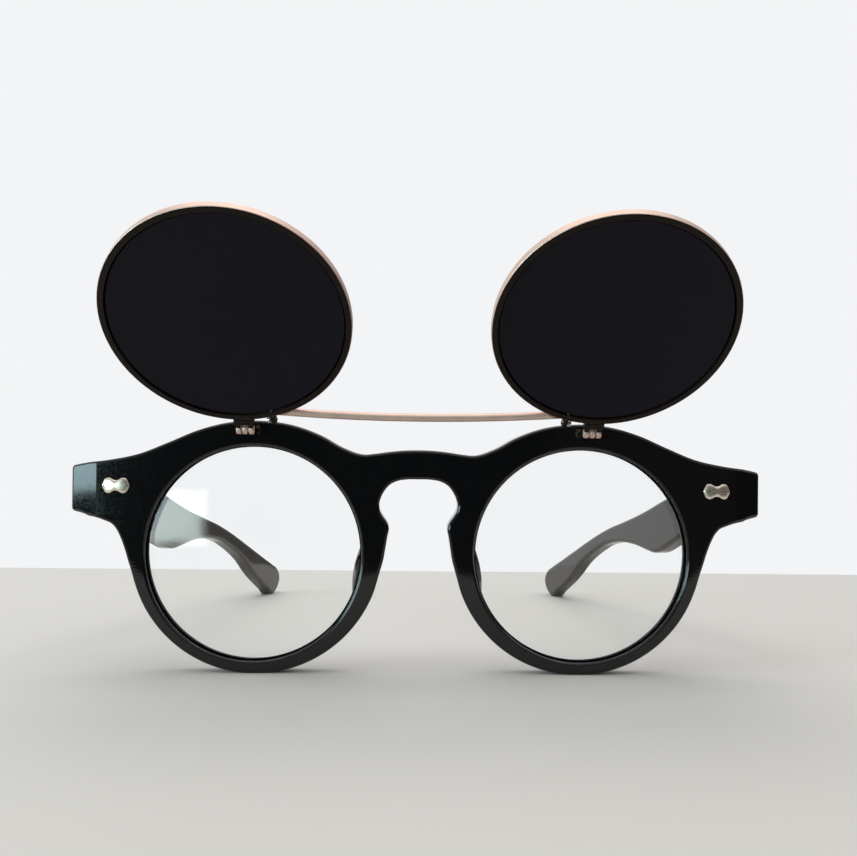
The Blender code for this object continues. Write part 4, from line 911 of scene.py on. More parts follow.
# Two lobes side by side: shares of the half length and of the half height, a quarter of the outline.
PLAQUE_SHARES = (
    (1.0, 0.0), (0.91, 0.42), (0.77, 0.85), (0.58, 1.0), (0.37, 0.93), (0.18, 0.74), (0.0, 0.68),
)
PLAQUE_FROM_CENTRE = FRONT_HALF_WIDTH - PLAQUE_FROM_SIDE
PLAQUE_HEIGHT_UP = END_TOP - PLAQUE_BELOW_TOP


def plaque_outline(grow, steps):
    """The small plate's outline, grown all round."""
    quarter = placed_shares(PLAQUE_SHARES, 0.0, PLAQUE_LENGTH / 2 + grow, 0.0, PLAQUE_HEIGHT / 2 + grow)
    top = quarter + [(-x, z) for x, z in reversed(quarter[:-1])]
    bottom = [(x, -z) for x, z in reversed(top[1:-1])]
    loop = [(PLAQUE_FROM_CENTRE + x, PLAQUE_HEIGHT_UP + z) for x, z in top + bottom]
    return smooth_loop(loop, steps)


def plaque_seat():
    """The shallow pocket that the plate lies in."""
    outline = plaque_outline(GAP, PLAQUE_SEAT_STEPS)
    mesh = plate_mesh("plaque_seat", [outline], PLAQUE_SUNK + OVERRUN, 0.0, 0)
    mesh.transform(Matrix.Translation((0.0, -OVERRUN, 0.0)))
    return mesh


print("plates are %.1f mm long" % (PLAQUE_LENGTH / MM))

# %% Hinge leaves and their seats
def knuckle_levels():
    """Lowest and highest points of the bottom, middle and top knuckles."""
    pitch = KNUCKLE_HEIGHT + GAP
    middles = [HINGE_MIDDLE_HEIGHT + step * pitch for step in (-1, 0, 1)]
    return [(middle - KNUCKLE_HEIGHT / 2, middle + KNUCKLE_HEIGHT / 2) for middle in middles]


def front_leaf_box(grow):
    """Low and high corners of the front leaf's plate in the rear face."""
    rear = FRONT_THICKNESS + LEAF_PROUD
    tail_x = HINGE_X - KNUCKLE_RADIUS - GAP
    half = LEAF_HEIGHT / 2 + grow
    low = (tail_x - FRONT_LEAF_LENGTH + GAP - grow, rear - LEAF_THICKNESS - grow, HINGE_MIDDLE_HEIGHT - half)
    return low, (tail_x + grow, rear + grow, HINGE_MIDDLE_HEIGHT + half)


def front_leaf_tabs(grow):
    """The two tabs of the front leaf that run out under its knuckles."""
    rear = FRONT_THICKNESS + LEAF_PROUD
    levels = knuckle_levels()
    tabs = []
    for low, high in (levels[0], levels[2]):
        start = (HINGE_X - KNUCKLE_RADIUS - 2 * GAP, rear - LEAF_THICKNESS - grow, low - grow)
        tabs.append((start, (HINGE_X + LEAF_OVERLAP + grow, rear + grow, high + grow)))
    return tabs


def front_leaf_seat():
    """The pocket in the rear face for the leaf and its tabs."""
    low, high = front_leaf_box(GAP)
    tabs = front_leaf_tabs(GAP)
    end = (tabs[0][1][0], FRONT_THICKNESS + OVERRUN, tabs[1][1][2])
    return box_mesh("leaf_seat", (low[0], low[1], tabs[0][0][2]), end)


print("knuckles from %.2f to %.2f mm up" % (knuckle_levels()[0][0] / MM, knuckle_levels()[2][1] / MM))

# %% Polished front
FOOT_FLAT_DEPTH = 0.15 * MM
GROOVE_DEPTH = 0.9 * MM
GROOVE_WIDTH = 1.4 * MM
GROOVE_FROM_FACE = 2.2 * MM
FRONT_ROUND_STEPS = 5
# The crease of the bevelled end pieces turns by a little more than this, and stays crisp.
FRONT_SHARP_ANGLE = math.radians(23)


def lens_groove(sign):
    """The V groove round an eye opening, as the ring that is cut away."""
    inside = EYE_RADIUS - OVERRUN / 2
    half = GROOVE_WIDTH / 2 * (1 + OVERRUN / 2 / GROOVE_DEPTH)
    profile = [(0.0, -half), (inside, -half), (EYE_RADIUS + GROOVE_DEPTH, 0.0), (inside, half), (0.0, half)]
    return turned_mesh("lens_groove", profile, (sign * EYE_X, GROOVE_FROM_FACE, EYE_Z))


def flattened(mesh):
    """A standing piece with what would reach below the table's top cut off."""
    reach = 2 * TEMPLE_REACH
    table = box_mesh("table", (-reach, -reach, -OVERRUN), (reach, reach, 0.0))
    return boolean(mesh, [table], "DIFFERENCE")


def build_front():
    """The whole acetate front, with its seats cut and its feet flattened by years on tables."""
    outlines = [front_outline(), eye_outline(1), eye_outline(-1)]
    plate = plate_mesh("front", outlines, FRONT_THICKNESS, FRONT_EDGE_ROUND, FRONT_ROUND_STEPS)
    front = shape_front(plate)
    cuts = []
    for sign in (1, -1):
        cuts += [lens_groove(sign), sided(plaque_seat(), sign), sided(front_leaf_seat(), sign)]
    front = boolean(front, cuts, "DIFFERENCE")
    front.transform(FRONT)
    front = flattened(front)
    nodes = ["front_frame"]
    add_piece("acetate_front", front, Matrix(), ACETATE, "front", nodes, FRONT_SHARP_ANGLE)


build_front()

# %% [markdown]
# ## Clear lenses
#
# Each lens is a thin domed disc whose edge is ground to a ridge that snaps into the groove. It is
# turned from its profile. The curve of the two faces is what makes reflections slide over it.

# %% Clear lenses
LENS_THICKNESS = 1.8 * MM
LENS_DOME = 1.8 * MM
LENS_BEVEL = 0.9 * MM
DOME_STEPS = 24


def lens_profile(edge_radius, ridge, thickness, dome):
    """A thin domed disc with a ridge round its edge, domed towards the front."""
    stations = [index / DOME_STEPS for index in range(DOME_STEPS + 1)]
    half = thickness / 2
    front = [(edge_radius * share, -half - dome * (1 - share ** 2)) for share in stations]
    back = [(edge_radius * share, half - dome * (1 - share ** 2)) for share in stations]
    return front + [(edge_radius + ridge, 0.0)] + back[::-1]


def build_clear_lenses():
    """Both clear lenses, in their grooves, with ground bevels."""
    polished = EYE_RADIUS - GAP
    profile = lens_profile(polished, LENS_BEVEL - GAP, LENS_THICKNESS, LENS_DOME)
    for side, sign in SIDES:
        lens = turned_mesh("lens", profile, (sign * EYE_X, GROOVE_FROM_FACE, EYE_Z))
        ground = faces_round(lens, (EYE_X, 0.0, EYE_Z), 1, polished)
        nodes = [side + "_lens"]
        piece = add_piece(side + "_clear_lens", lens, FRONT, CLEAR, "front", nodes)
        # The ground bevel takes the near-black painted shade of the groove.
        paint(piece, EDGE, ground)


build_clear_lenses()

# %% [markdown]
# ## Nose pads
#
# On an acetate front the pads are small lumps of the same acetate, bonded behind the nasal side
# of each ring and polished with it. Each is a stretched ball, cut where it meets the ring.

# %% Nose pads
PAD_HALF_SIZES = (2.1 * MM, 4.6 * MM, 8.4 * MM)
PAD_CENTRE = (EYE_GAP / 2 - 1.3 * MM, FRONT_THICKNESS + 0.6 * MM, EYE_Z - 3.1 * MM)
PAD_SPLAY = math.radians(34)
PAD_TILT = math.radians(14)
PAD_ROUND_STEPS = 64
PAD_RISE_STEPS = 40


def nose_pad():
    """A stretched ball behind the left ring's nasal side."""
    bm = bmesh.new()
    bmesh.ops.create_uvsphere(bm, u_segments=PAD_ROUND_STEPS, v_segments=PAD_RISE_STEPS, radius=1.0)
    bmesh.ops.scale(bm, vec=PAD_HALF_SIZES, verts=bm.verts)
    turn = Matrix.Rotation(-PAD_TILT, 3, "Y") @ Matrix.Rotation(-PAD_SPLAY, 3, "Z")
    bmesh.ops.rotate(bm, cent=(0.0, 0.0, 0.0), matrix=turn, verts=bm.verts)
    bmesh.ops.translate(bm, vec=PAD_CENTRE, verts=bm.verts)
    ball = mesh_from(bm, "nose_pad")
    reach = FRONT_HALF_WIDTH
    face = box_mesh("ring_side", (-reach, -reach, -reach), (reach, FRONT_THICKNESS + GAP, reach))
    return boolean(ball, [face], "DIFFERENCE")


add_both("nose_pad", "polished", nose_pad(), FRONT, ACETATE, "front")

# %% [markdown]
# ## Temples
#
# A temple is cut from sheet like the front, then heated and bent in towards the head, with a
# curl behind the ear. Its side view is drawn as shares of its reach and of its drop, and the
# plate is sliced at many places so that it bends smoothly.

# %% Shape of the temples
# Top edge from the front end to the tip: shares of the reach and of the drop.
TEMPLE_TOP_SHARES = (
    (0.0, 0.0), (0.02, 0.012), (0.15, 0.088), (0.295, 0.179), (0.383, 0.256), (0.447, 0.308),
    (0.511, 0.356), (0.58, 0.406), (0.651, 0.469), (0.726, 0.545), (0.805, 0.63), (0.887, 0.719),
    (0.943, 0.78), (0.983, 0.83), (0.997, 0.869), (1.0, 0.911),
)
# Bottom edge from the tip back to the front end, in the same shares.
TEMPLE_BOTTOM_SHARES = (
    (0.989, 0.958), (0.97, 0.988), (0.948, 1.0), (0.914, 0.95), (0.88, 0.902), (0.839, 0.843),
    (0.799, 0.776), (0.76, 0.703), (0.722, 0.646), (0.685, 0.6), (0.649, 0.56), (0.614, 0.525),
    (0.58, 0.502), (0.546, 0.485), (0.509, 0.474), (0.443, 0.469), (0.38, 0.479), (0.349, 0.481),
    (0.32, 0.465), (0.286, 0.43), (0.25, 0.388), (0.21, 0.343), (0.162, 0.292), (0.106, 0.245),
    (0.0, 0.185),
)
TEMPLE_LOWEST_SHARE = max(TEMPLE_BOTTOM_SHARES, key=lambda place: place[1])[0]
TEMPLE_FLAT_DEPTH = 0.1 * MM
TEMPLE_SLICES = 40
TEMPLE_ROUND_STEPS = 4


def temple_drop():
    """Drop from the temple's top front corner to its lowest point, which touches the table."""
    lowest_y = BUTT_Y + TEMPLE_REACH * TEMPLE_LOWEST_SHARE
    rise_by_lean = lowest_y * math.sin(lean)
    return TEMPLE_TOP + (rise_by_lean + TEMPLE_FLAT_DEPTH - FOOT_FLAT_DEPTH) / math.cos(lean)


def temple_inward(y):
    """How far the temple has swung in towards the head at a place along it."""
    share = min(1.0, max(0.0, (y - BUTT_Y) / TEMPLE_REACH))
    return TEMPLE_INWARD * share ** TEMPLE_BEND_POWER


def temple_mesh():
    """A plate to the temple's outline, swung in along its length."""
    shares = TEMPLE_TOP_SHARES + TEMPLE_BOTTOM_SHARES
    points = placed_shares(shares, BUTT_Y, TEMPLE_REACH, TEMPLE_TOP, -temple_drop())
    loop = smooth_loop(points, OUTLINE_STEPS)
    ends = 2 * OUTLINE_STEPS
    tidy = [Vector((max(y, BUTT_Y), z)) for y, z in loop[:-ends]] + [Vector(point) for point in points[-2:]]
    mesh = plate_mesh("temple", [tidy], TEMPLE_THICKNESS, TEMPLE_EDGE_ROUND, TEMPLE_ROUND_STEPS)
    bm = bmesh.new()
    bm.from_mesh(mesh)
    for vert in bm.verts:
        along, across, up = vert.co
        vert.co = (FRONT_HALF_WIDTH - across, along, up)
    cuts = [BUTT_Y + TEMPLE_REACH * index / TEMPLE_SLICES for index in range(1, TEMPLE_SLICES)]
    slice_across(bm, [(0.0, y, 0.0) for y in cuts], (0.0, 1.0, 0.0))
    for vert in bm.verts:
        vert.co.x -= temple_inward(vert.co.y)
    return mesh_from(bm, "temple")


print("temples drop %.1f mm" % (temple_drop() / MM))

# %% Temples with their leaf seats
def temple_leaf_box(grow):
    """The temple leaf's plate in the temple's inner face."""
    inner = TEMPLE_INNER_X - LEAF_PROUD
    start = HINGE_Y + KNUCKLE_RADIUS - LEAF_OVERLAP * 2
    half = LEAF_HEIGHT / 2 + grow
    low = (inner - grow, start, HINGE_MIDDLE_HEIGHT - half)
    end = start + TEMPLE_LEAF_LENGTH + grow
    return low, (inner + LEAF_THICKNESS + grow, end, HINGE_MIDDLE_HEIGHT + half)


def build_temples():
    """Both temples, with the leaf's seat cut and the tip flattened where it stands."""
    arm = temple_mesh()
    low, high = temple_leaf_box(GAP)
    seat = box_mesh("leaf_seat", (low[0] - OVERRUN, BUTT_Y - OVERRUN, low[2]), high)
    arm = boolean(arm, [seat], "DIFFERENCE")
    for side, sign in SIDES:
        placed = sided(arm, sign)
        placed.transform(FRONT)
        body = side + "_temple"
        nodes = [body + "_arm"]
        add_piece(body + "_polished", flattened(placed), Matrix(), ACETATE, body, nodes)


build_temples()

# %% [markdown]
# ## Barrels and screws
#
# Hinge barrels, washers and screw heads repeat all over the glasses, so Geometry Nodes make them.
# The first tree sweeps a barrel's wall round a circle and sets copies of it on a line, one for
# each knuckle. The second makes a slotted screw head and cuts its slot.

# %% Starting, closing and running a tree
SOCKET_KINDS = {"Count": "Int", "Profile": "Geometry", "Material": "Material"}


def new_tree(name, labels, formulas):
    """An empty Geometry Nodes tree: its named inputs, and the sizes that follow from them.

    A formula gives a new size's name, what is done, and the two sizes or numbers it is done with.
    """
    tree = bpy.data.node_groups.new(name, "GeometryNodeTree")
    for label in labels + ("Material",):
        kind = "NodeSocket" + SOCKET_KINDS.get(label, "Float")
        tree.interface.new_socket(label, in_out="INPUT", socket_type=kind)
    tree.interface.new_socket("Geometry", in_out="OUTPUT", socket_type="NodeSocketGeometry")
    sizes = dict(tree.nodes.new("NodeGroupInput").outputs.items())
    for size, operation, first, second in formulas:
        terms = {0: sizes.get(first, first), 1: sizes.get(second, second)}
        sizes[size] = add_node(tree, "ShaderNodeMath", terms, operation=operation)
    return tree, sizes


def close_tree(tree, geometry, material):
    """Realize the instances, set the material and lead to the output."""
    real = add_node(tree, "GeometryNodeRealizeInstances", {"Geometry": geometry})
    coat = add_node(tree, "GeometryNodeSetMaterial", {"Geometry": real, "Material": material})
    add_node(tree, "NodeGroupOutput", {"Geometry": coat})
    return tree


def run_tree(tree, name, values, profile=None):
    """The plain mesh that a tree gives with these sizes; a profile goes in as a drawn mesh."""
    holder = on_bench(name, profile or bpy.data.meshes.new(name))
    modifier = holder.modifiers.new(tree.name, "NODES")
    modifier.node_group = tree
    for item in tree.interface.items_tree:
        if item.in_out == "INPUT" and item.name in values:
            modifier[item.identifier] = values[item.name]
    return worked(holder, name)


print("inputs that aren't plain numbers:", sorted(SOCKET_KINDS))

# %% Trees for barrels and heads
BARREL_ROUND_STEPS = 3


def barrel_tree():
    """Rounded barrels with a bore, standing in a row along Z."""
    tree, sizes = new_tree("knuckle_barrels", ("Radius", "Bore", "Height", "Round", "Pitch", "Count"), (
        ("wall", "SUBTRACT", "Radius", "Bore"), ("both", "ADD", "Radius", "Bore"),
        ("middle", "MULTIPLY", "both", 0.5),
    ))
    section = add_node(tree, "GeometryNodeCurvePrimitiveQuadrilateral", {
        "Width": sizes["wall"], "Height": sizes["Height"],
    })
    soft = add_node(tree, "GeometryNodeFilletCurve", {
        "Curve": section, "Radius": sizes["Round"], "Count": BARREL_ROUND_STEPS,
    }, mode="POLY")
    circle = add_node(tree, "GeometryNodeCurvePrimitiveCircle", {
        "Resolution": ROD_SIDES, "Radius": sizes["middle"],
    })
    barrel = add_node(tree, "GeometryNodeCurveToMesh", {"Curve": circle, "Profile Curve": soft})
    step = add_node(tree, "ShaderNodeCombineXYZ", {"Z": sizes["Pitch"]})
    row = add_node(tree, "GeometryNodeMeshLine", {"Count": sizes["Count"], "Offset": step})
    copies = add_node(tree, "GeometryNodeInstanceOnPoints", {"Points": row, "Instance": barrel})
    return close_tree(tree, copies, sizes["Material"])


def head_tree():
    """A screw head with a slot across its top, its underside at zero."""
    tree, sizes = new_tree("slotted_head", ("Radius", "Height", "Slot Width", "Slot Depth"), (
        ("half", "MULTIPLY", "Height", 0.5), ("past both sides", "MULTIPLY", "Radius", 3.0),
        ("twice as deep", "MULTIPLY", "Slot Depth", 2.0),
    ))
    disc = add_node(tree, "GeometryNodeMeshCylinder", {
        "Vertices": ROD_SIDES, "Radius": sizes["Radius"], "Depth": sizes["Height"],
    })
    block_size = add_node(tree, "ShaderNodeCombineXYZ", {
        "X": sizes["Slot Width"], "Y": sizes["past both sides"], "Z": sizes["twice as deep"],
    })
    block = add_node(tree, "GeometryNodeMeshCube", {"Size": block_size})
    raised = []
    for shape, height in ((disc, sizes["half"]), (block, sizes["Height"])):
        place = add_node(tree, "ShaderNodeCombineXYZ", {"Z": height})
        raised.append(add_node(tree, "GeometryNodeTransform", {"Geometry": shape, "Translation": place}))
    cut = add_node(tree, "GeometryNodeMeshBoolean", {
        "Mesh 1": raised[0], "Mesh 2": raised[1],
    }, operation="DIFFERENCE", solver="EXACT")
    return close_tree(tree, cut, sizes["Material"])


BARRELS = barrel_tree()
HEADS = head_tree()
print("trees:", BARRELS.name, HEADS.name)

# %% [markdown]
# ## Temple hinges
#
# Each hinge has a leaf let into the front and a leaf let into the temple, with their barrels on
# one slotted screw. The leaves are stamped plates with softened edges.

# %% Temple hinges
KNUCKLE_ROUND = 0.15 * MM
LEAF_EDGE = 0.12 * MM
SLOT_WIDTH = 0.4 * MM
SLOT_DEPTH = 0.3 * MM
WEB_FROM_AXIS = 0.6 * KNUCKLE_RADIUS


def barrels(first_level, count, pitch, place, radius, bore, height, material):
    """Barrels in a row from a first level upwards, moved to their axis."""
    mesh = run_tree(BARRELS, "barrels", {
        "Radius": radius, "Bore": bore, "Height": height, "Round": KNUCKLE_ROUND, "Pitch": pitch,
        "Count": count, "Material": material,
    })
    mesh.transform(place @ Matrix.Translation((0.0, 0.0, first_level)))
    return mesh


def slotted_head(radius, height, slot_share):
    """A nickel screw head whose slot is this share of a hinge screw's."""
    return run_tree(HEADS, "head", {
        "Radius": radius, "Height": height, "Slot Width": slot_share * SLOT_WIDTH,
        "Slot Depth": slot_share * SLOT_DEPTH, "Material": NICKEL,
    })


def merged(name, meshes):
    """Several meshes as one, each kept closed."""
    bm = bmesh.new()
    for mesh in meshes:
        bm.from_mesh(mesh)
    return mesh_from(bm, name)


def build_temple_hinges():
    """Leaves, barrels and screws of both temple hinges."""
    levels = knuckle_levels()
    pitch = KNUCKLE_HEIGHT + GAP
    middle = [(low + high) / 2 for low, high in levels]
    axis = Matrix.Translation((HINGE_X, HINGE_Y, 0.0))
    shape = (KNUCKLE_RADIUS, HINGE_BORE_RADIUS, KNUCKLE_HEIGHT, NICKEL)
    outer = barrels(middle[0], 2, 2 * pitch, axis, *shape)
    inner = barrels(middle[1], 1, pitch, axis, *shape)
    plate = soft_box("leaf", *front_leaf_box(0.0), LEAF_EDGE)
    tabs = [soft_box("tab", *tab, LEAF_EDGE) for tab in front_leaf_tabs(0.0)]
    front_leaf = merged("front_leaf", [plate, outer] + tabs)
    low, high = temple_leaf_box(0.0)
    web_low = (HINGE_X + WEB_FROM_AXIS, low[1], levels[1][0])
    web_high = (high[0] - LEAF_OVERLAP / 2, low[1] + LEAF_WEB, levels[1][1])
    plate = soft_box("leaf", low, high, LEAF_EDGE)
    web = soft_box("web", web_low, web_high, LEAF_EDGE)
    temple_leaf = merged("temple_leaf", [plate, inner, web])
    top = levels[2][1] + GAP
    head = slotted_head(SCREW_HEAD_RADIUS, SCREW_HEAD_HEIGHT, 1.0)
    head.transform(axis @ Matrix.Translation((0.0, 0.0, top)))
    foot = (HINGE_X, HINGE_Y, levels[0][0])
    shank = rod_mesh("shank", HINGE_BORE_RADIUS - GAP, foot, (HINGE_X, HINGE_Y, top + GAP))
    screw = merged("screw", [head, shank])
    add_both("hinge_front_leaf", "stamped", front_leaf, FRONT, NICKEL, "front")
    add_both("hinge_temple_leaf", "stamped", temple_leaf, FRONT, NICKEL, "temple")
    add_both("hinge_screw", "slotted", screw, FRONT, NICKEL, "front")


build_temple_hinges()

# %% [markdown]
# ## Small plates on the end pieces
#
# The plates are pressed from thin sheet over a two-lobed die, so they are pillowed, with a soft
# edge. Loops of their outline shrink towards the middle while they rise.

# %% Pillowed plates
PLAQUE_PILLOW = 0.28 * MM
# Loops from the rear edge to the middle: the share of the outline, and of the pillow's rise or,
# below zero, of the edge's depth.
PLAQUE_LOOP_SHARES = (
    (1.0, -0.9), (1.0, -0.15), (0.965, 0.1), (0.9, 0.35), (0.78, 0.62), (0.6, 0.84), (0.35, 0.96),
)


def plaque_mesh():
    """Loops of the outline, from the rear edge over the soft edge to the middle of the pillow."""
    face = PLAQUE_SUNK - GAP - PLAQUE_THICKNESS + PLAQUE_PILLOW
    middle = Vector((PLAQUE_FROM_CENTRE, face, PLAQUE_HEIGHT_UP))
    bm = bmesh.new()
    rows = []
    for share, rise in PLAQUE_LOOP_SHARES:
        forward = rise * (PLAQUE_PILLOW if rise > 0 else PLAQUE_THICKNESS - PLAQUE_PILLOW)
        level = middle - Vector((0.0, forward, 0.0))
        rows.append([
            bm.verts.new(level + (Vector((x, face, z)) - middle) * share)
            for x, z in plaque_outline(0.0, PLAQUE_STEPS)
        ])
    bm.faces.new(rows[0][::-1])
    crown = bm.verts.new(middle - Vector((0.0, PLAQUE_PILLOW, 0.0)))
    for index in range(len(rows[0])):
        for lower, upper in zip(rows, rows[1:]):
            bm.faces.new((lower[index - 1], lower[index], upper[index], upper[index - 1]))
        bm.faces.new((rows[-1][index - 1], rows[-1][index], crown))
    return mesh_from(bm, "plaque")


add_both("front_plaque", "pressed", plaque_mesh(), FRONT, GILT, "front")

# %% [markdown]
# ## Sun rims
#
# Each sun lens sits in a ring of drawn metal with a groove inside. Its section is drawn once and
# swept round a circle, which is how such rims are bent. The circle is left open by the width of
# the slit under the rim lock. A tree does it, with the radius and the opening as inputs.

# %% Tree for the rims
def rim_tree():
    """The drawn profile swept round an open circle, its ends capped."""
    tree, sizes = new_tree("swept_rim", ("Profile", "Radius", "Open Share"), (
        ("far end", "SUBTRACT", 1.0, "Open Share"),
    ))
    section = add_node(tree, "GeometryNodeMeshToCurve", {"Mesh": sizes["Profile"]})
    circle = add_node(tree, "GeometryNodeCurvePrimitiveCircle", {
        "Resolution": TURN_STEPS, "Radius": sizes["Radius"],
    })
    arc = add_node(tree, "GeometryNodeTrimCurve", {
        "Curve": circle, "Start": sizes["Open Share"], "End": sizes["far end"],
    }, mode="FACTOR")
    swept = add_node(tree, "GeometryNodeCurveToMesh", {
        "Curve": arc, "Profile Curve": section, "Fill Caps": True,
    })
    return close_tree(tree, swept, sizes["Material"])


RIMS = rim_tree()
print("tree:", RIMS.name)

# %% Sun rims
RIM_CORNER_POINTS = 6


def sun_centre():
    """Middle of the left sun lens, in the flip's frame with the lens hanging down."""
    return Vector((SUN_FROM_CENTRE, 0.0, -SUN_RIM_BELOW_AXIS - SUN_RIM_RADIUS))


def lock_turn():
    """Angle of the rim lock round the sun rim, from straight up towards the middle of the glasses."""
    return math.asin(LOCK_FROM_RIM_CENTRE / SUN_RIM_RADIUS)


def at_lock(mesh):
    """Place a mesh drawn round the rim's top at the lock's own place on the left rim."""
    mesh.transform(Matrix.Translation(sun_centre()) @ Matrix.Rotation(-lock_turn(), 4, "Y"))
    return mesh


def rim_section():
    """The rim's section: rounded outside, with the lens groove inside; X outwards, Y along the depth."""
    half_wall = SUN_RIM_WALL / 2
    half = SUN_RIM_DEPTH / 2
    groove = SUN_GROOVE_WIDTH / 2
    centre = (half_wall - SUN_RIM_ROUND, half - SUN_RIM_ROUND, SUN_RIM_ROUND)
    loop = arc_points(*centre, 0.0, QUARTER, RIM_CORNER_POINTS)
    loop += [(-half_wall, half), (-half_wall, groove), (SUN_GROOVE_DEPTH - half_wall, 0.0)]
    loop += [(-half_wall, -groove), (-half_wall, -half)]
    loop += arc_points(centre[0], -centre[1], SUN_RIM_ROUND, -QUARTER, 0.0, RIM_CORNER_POINTS)
    mesh = bpy.data.meshes.new("rim_section")
    count = len(loop)
    edges = [(index, (index + 1) % count) for index in range(count)]
    mesh.from_pydata([(x, y, 0.0) for x, y in loop], edges, [])
    return mesh


def sun_rim():
    """The left rim in the flip's frame, its slit under the lock."""
    middle = SUN_RIM_RADIUS - SUN_RIM_WALL / 2
    values = {"Radius": middle, "Open Share": RIM_SLIT / 2 / (math.tau * middle), "Material": ROSE_GOLD}
    mesh = run_tree(RIMS, "sun_rim", values, rim_section())
    mesh.transform(Matrix.Rotation(-QUARTER, 4, "Y") @ Matrix.Rotation(QUARTER, 4, "X"))
    return at_lock(mesh)


# The rim is painted dark on both sides and inside, as painted shade and painted dark reflection; its rounded
# outer wall keeps the bright metal.
SHADE_PAINTED_FACES = (sun_centre(), 1, 0.0, SUN_RIM_RADIUS - SUN_RIM_ROUND / 2)
add_both("sun_rim", "drawn", sun_rim(), FLIP, ROSE_GOLD, "flip", SHADE_PAINT, SHADE_PAINTED_FACES)

# %% Sun lenses
def build_sun_lenses():
    """The dark lenses, domed towards the side that faces forward when they are down."""
    inner = SUN_RIM_RADIUS - SUN_RIM_WALL
    profile = lens_profile(inner - GAP, SUN_GROOVE_DEPTH - GAP, SUN_LENS_THICKNESS, SUN_LENS_DOME)
    lens = turned_mesh("sun_lens", profile, sun_centre())
    add_both("sun_lens", "dyed", lens, FLIP, SMOKED, "flip")


build_sun_lenses()

# %% [markdown]
# ## Flip hinges
#
# A small plate on the front carries one barrel, and a fork with two barrels straddles it. The
# fork ends in a saddle that is soldered to the rim. The barrels come from the same tree as the
# temple hinges.

# %% Barrels on the flip axis
FLIP_EDGE = 0.1 * MM


def flip_pitch():
    """Distance from one flip knuckle to the next."""
    return FLIP_KNUCKLE_WIDTH + GAP


def rim_clearance():
    """A disc as large as the sun rim and its clearance."""
    centre = sun_centre()
    half = Vector((0.0, SUN_RIM_DEPTH / 2 + OVERRUN, 0.0))
    return rod_mesh("rim_clearance", SUN_RIM_RADIUS + GAP, centre - half, centre + half)


def flip_barrels(steps):
    """Barrels of the flip hinge lying along X, at these steps from its middle."""
    lie = Matrix.Translation((FLIP_HINGE_FROM_CENTRE, 0.0, 0.0)) @ Matrix.Rotation(QUARTER, 4, "Y")
    pitch = flip_pitch()
    spread = (steps[-1] - steps[0]) * pitch
    shape = (FLIP_KNUCKLE_RADIUS, FLIP_BORE_RADIUS, FLIP_KNUCKLE_WIDTH, ROSE_GOLD)
    return barrels(steps[0] * pitch, len(steps), spread, lie, *shape)


print("flip knuckles are %.2f mm apart" % (flip_pitch() / MM))

# %% Flip hinges
def flip_base():
    """The plate with its lug and middle barrel, in the front's frame."""
    x = FLIP_HINGE_FROM_CENTRE
    low = (x - FLIP_PLATE_HALF_WIDTH, -GAP - FLIP_PLATE_THICKNESS, FLIP_AXIS_HEIGHT - FLIP_PLATE_BELOW)
    high = (x + FLIP_PLATE_HALF_WIDTH, -GAP, FLIP_AXIS_HEIGHT + FLIP_PLATE_ABOVE)
    half = FLIP_KNUCKLE_WIDTH / 2
    depth = FLIP_BORE_RADIUS + FLIP_EDGE - FLIP_AXIS_FROM_FACE
    start = (x - half, depth, FLIP_AXIS_HEIGHT - FLIP_LUG_HALF_HEIGHT)
    end = (x + half, -GAP - FLIP_PLATE_THICKNESS / 2, FLIP_AXIS_HEIGHT + FLIP_LUG_HALF_HEIGHT)
    barrel = flip_barrels([0])
    barrel.transform(Matrix.Translation(flip_in_front))
    shapes = [soft_box("plate", low, high, FLIP_EDGE), soft_box("lug", start, end, FLIP_EDGE)]
    return merged("flip_base", shapes + [barrel])


def flip_fork():
    """The two outer barrels, their straps and the saddle on the rim, in the flip's frame."""
    x = FLIP_HINGE_FROM_CENTRE
    depth = FLIP_SADDLE_HALF_DEPTH
    low = (x - FLIP_SADDLE_HALF_WIDTH, -depth, -SUN_RIM_BELOW_AXIS - OVERRUN)
    saddle = box_mesh("saddle", low, (x + FLIP_SADDLE_HALF_WIDTH, depth, -FLIP_STRAP_DROP))
    saddle = softened(boolean(saddle, [rim_clearance()], "DIFFERENCE"), FLIP_EDGE)
    shapes = [saddle, flip_barrels([-1, 1])]
    half = FLIP_KNUCKLE_WIDTH / 2
    for step in (-1, 1):
        middle = x + step * flip_pitch()
        strap_low = (middle - half, -depth, -FLIP_STRAP_DROP - GAP)
        strap_high = (middle + half, depth, -FLIP_BORE_RADIUS - FLIP_EDGE)
        shapes.append(soft_box("strap", strap_low, strap_high, FLIP_EDGE))
    return merged("flip_fork", shapes)


def flip_pin():
    """The pin through the three barrels."""
    reach = flip_pitch() + FLIP_KNUCKLE_WIDTH / 2
    centre = flip_in_front + Vector((FLIP_HINGE_FROM_CENTRE, 0.0, 0.0))
    along = Vector((reach, 0.0, 0.0))
    return softened(rod_mesh("pin", FLIP_BORE_RADIUS - GAP, centre - along, centre + along), FLIP_EDGE / 2)


# The leaves are painted dark beyond their barrels, as painted shade and painted dark reflection; the barrels
# keep the bright metal.
FLIP_LEAVES = (
    ("flip_hinge_base", flip_base(), FRONT, "front", flip_in_front),
    ("flip_hinge_arm", flip_fork(), FLIP, "flip", Vector()),
)
for kind, leaf, place, body, axis in FLIP_LEAVES:
    beyond = (axis, 0, FLIP_KNUCKLE_RADIUS)
    add_both(kind, "soldered", leaf, place, ROSE_GOLD, body, SHADE_PAINT, beyond)
add_both("flip_hinge_pin", "turned", flip_pin(), FRONT, ROSE_GOLD, "front")

# %% [markdown]
# ## Rim locks and the bar
#
# A rim of this kind is closed on its lens by a small block and a screw. The bowed bar ties the
# two rims together, so that both lenses lift at once. It is a round wire swept along its bow.

# %% Rim locks
SMALL_SLOT_SHARE = 0.5


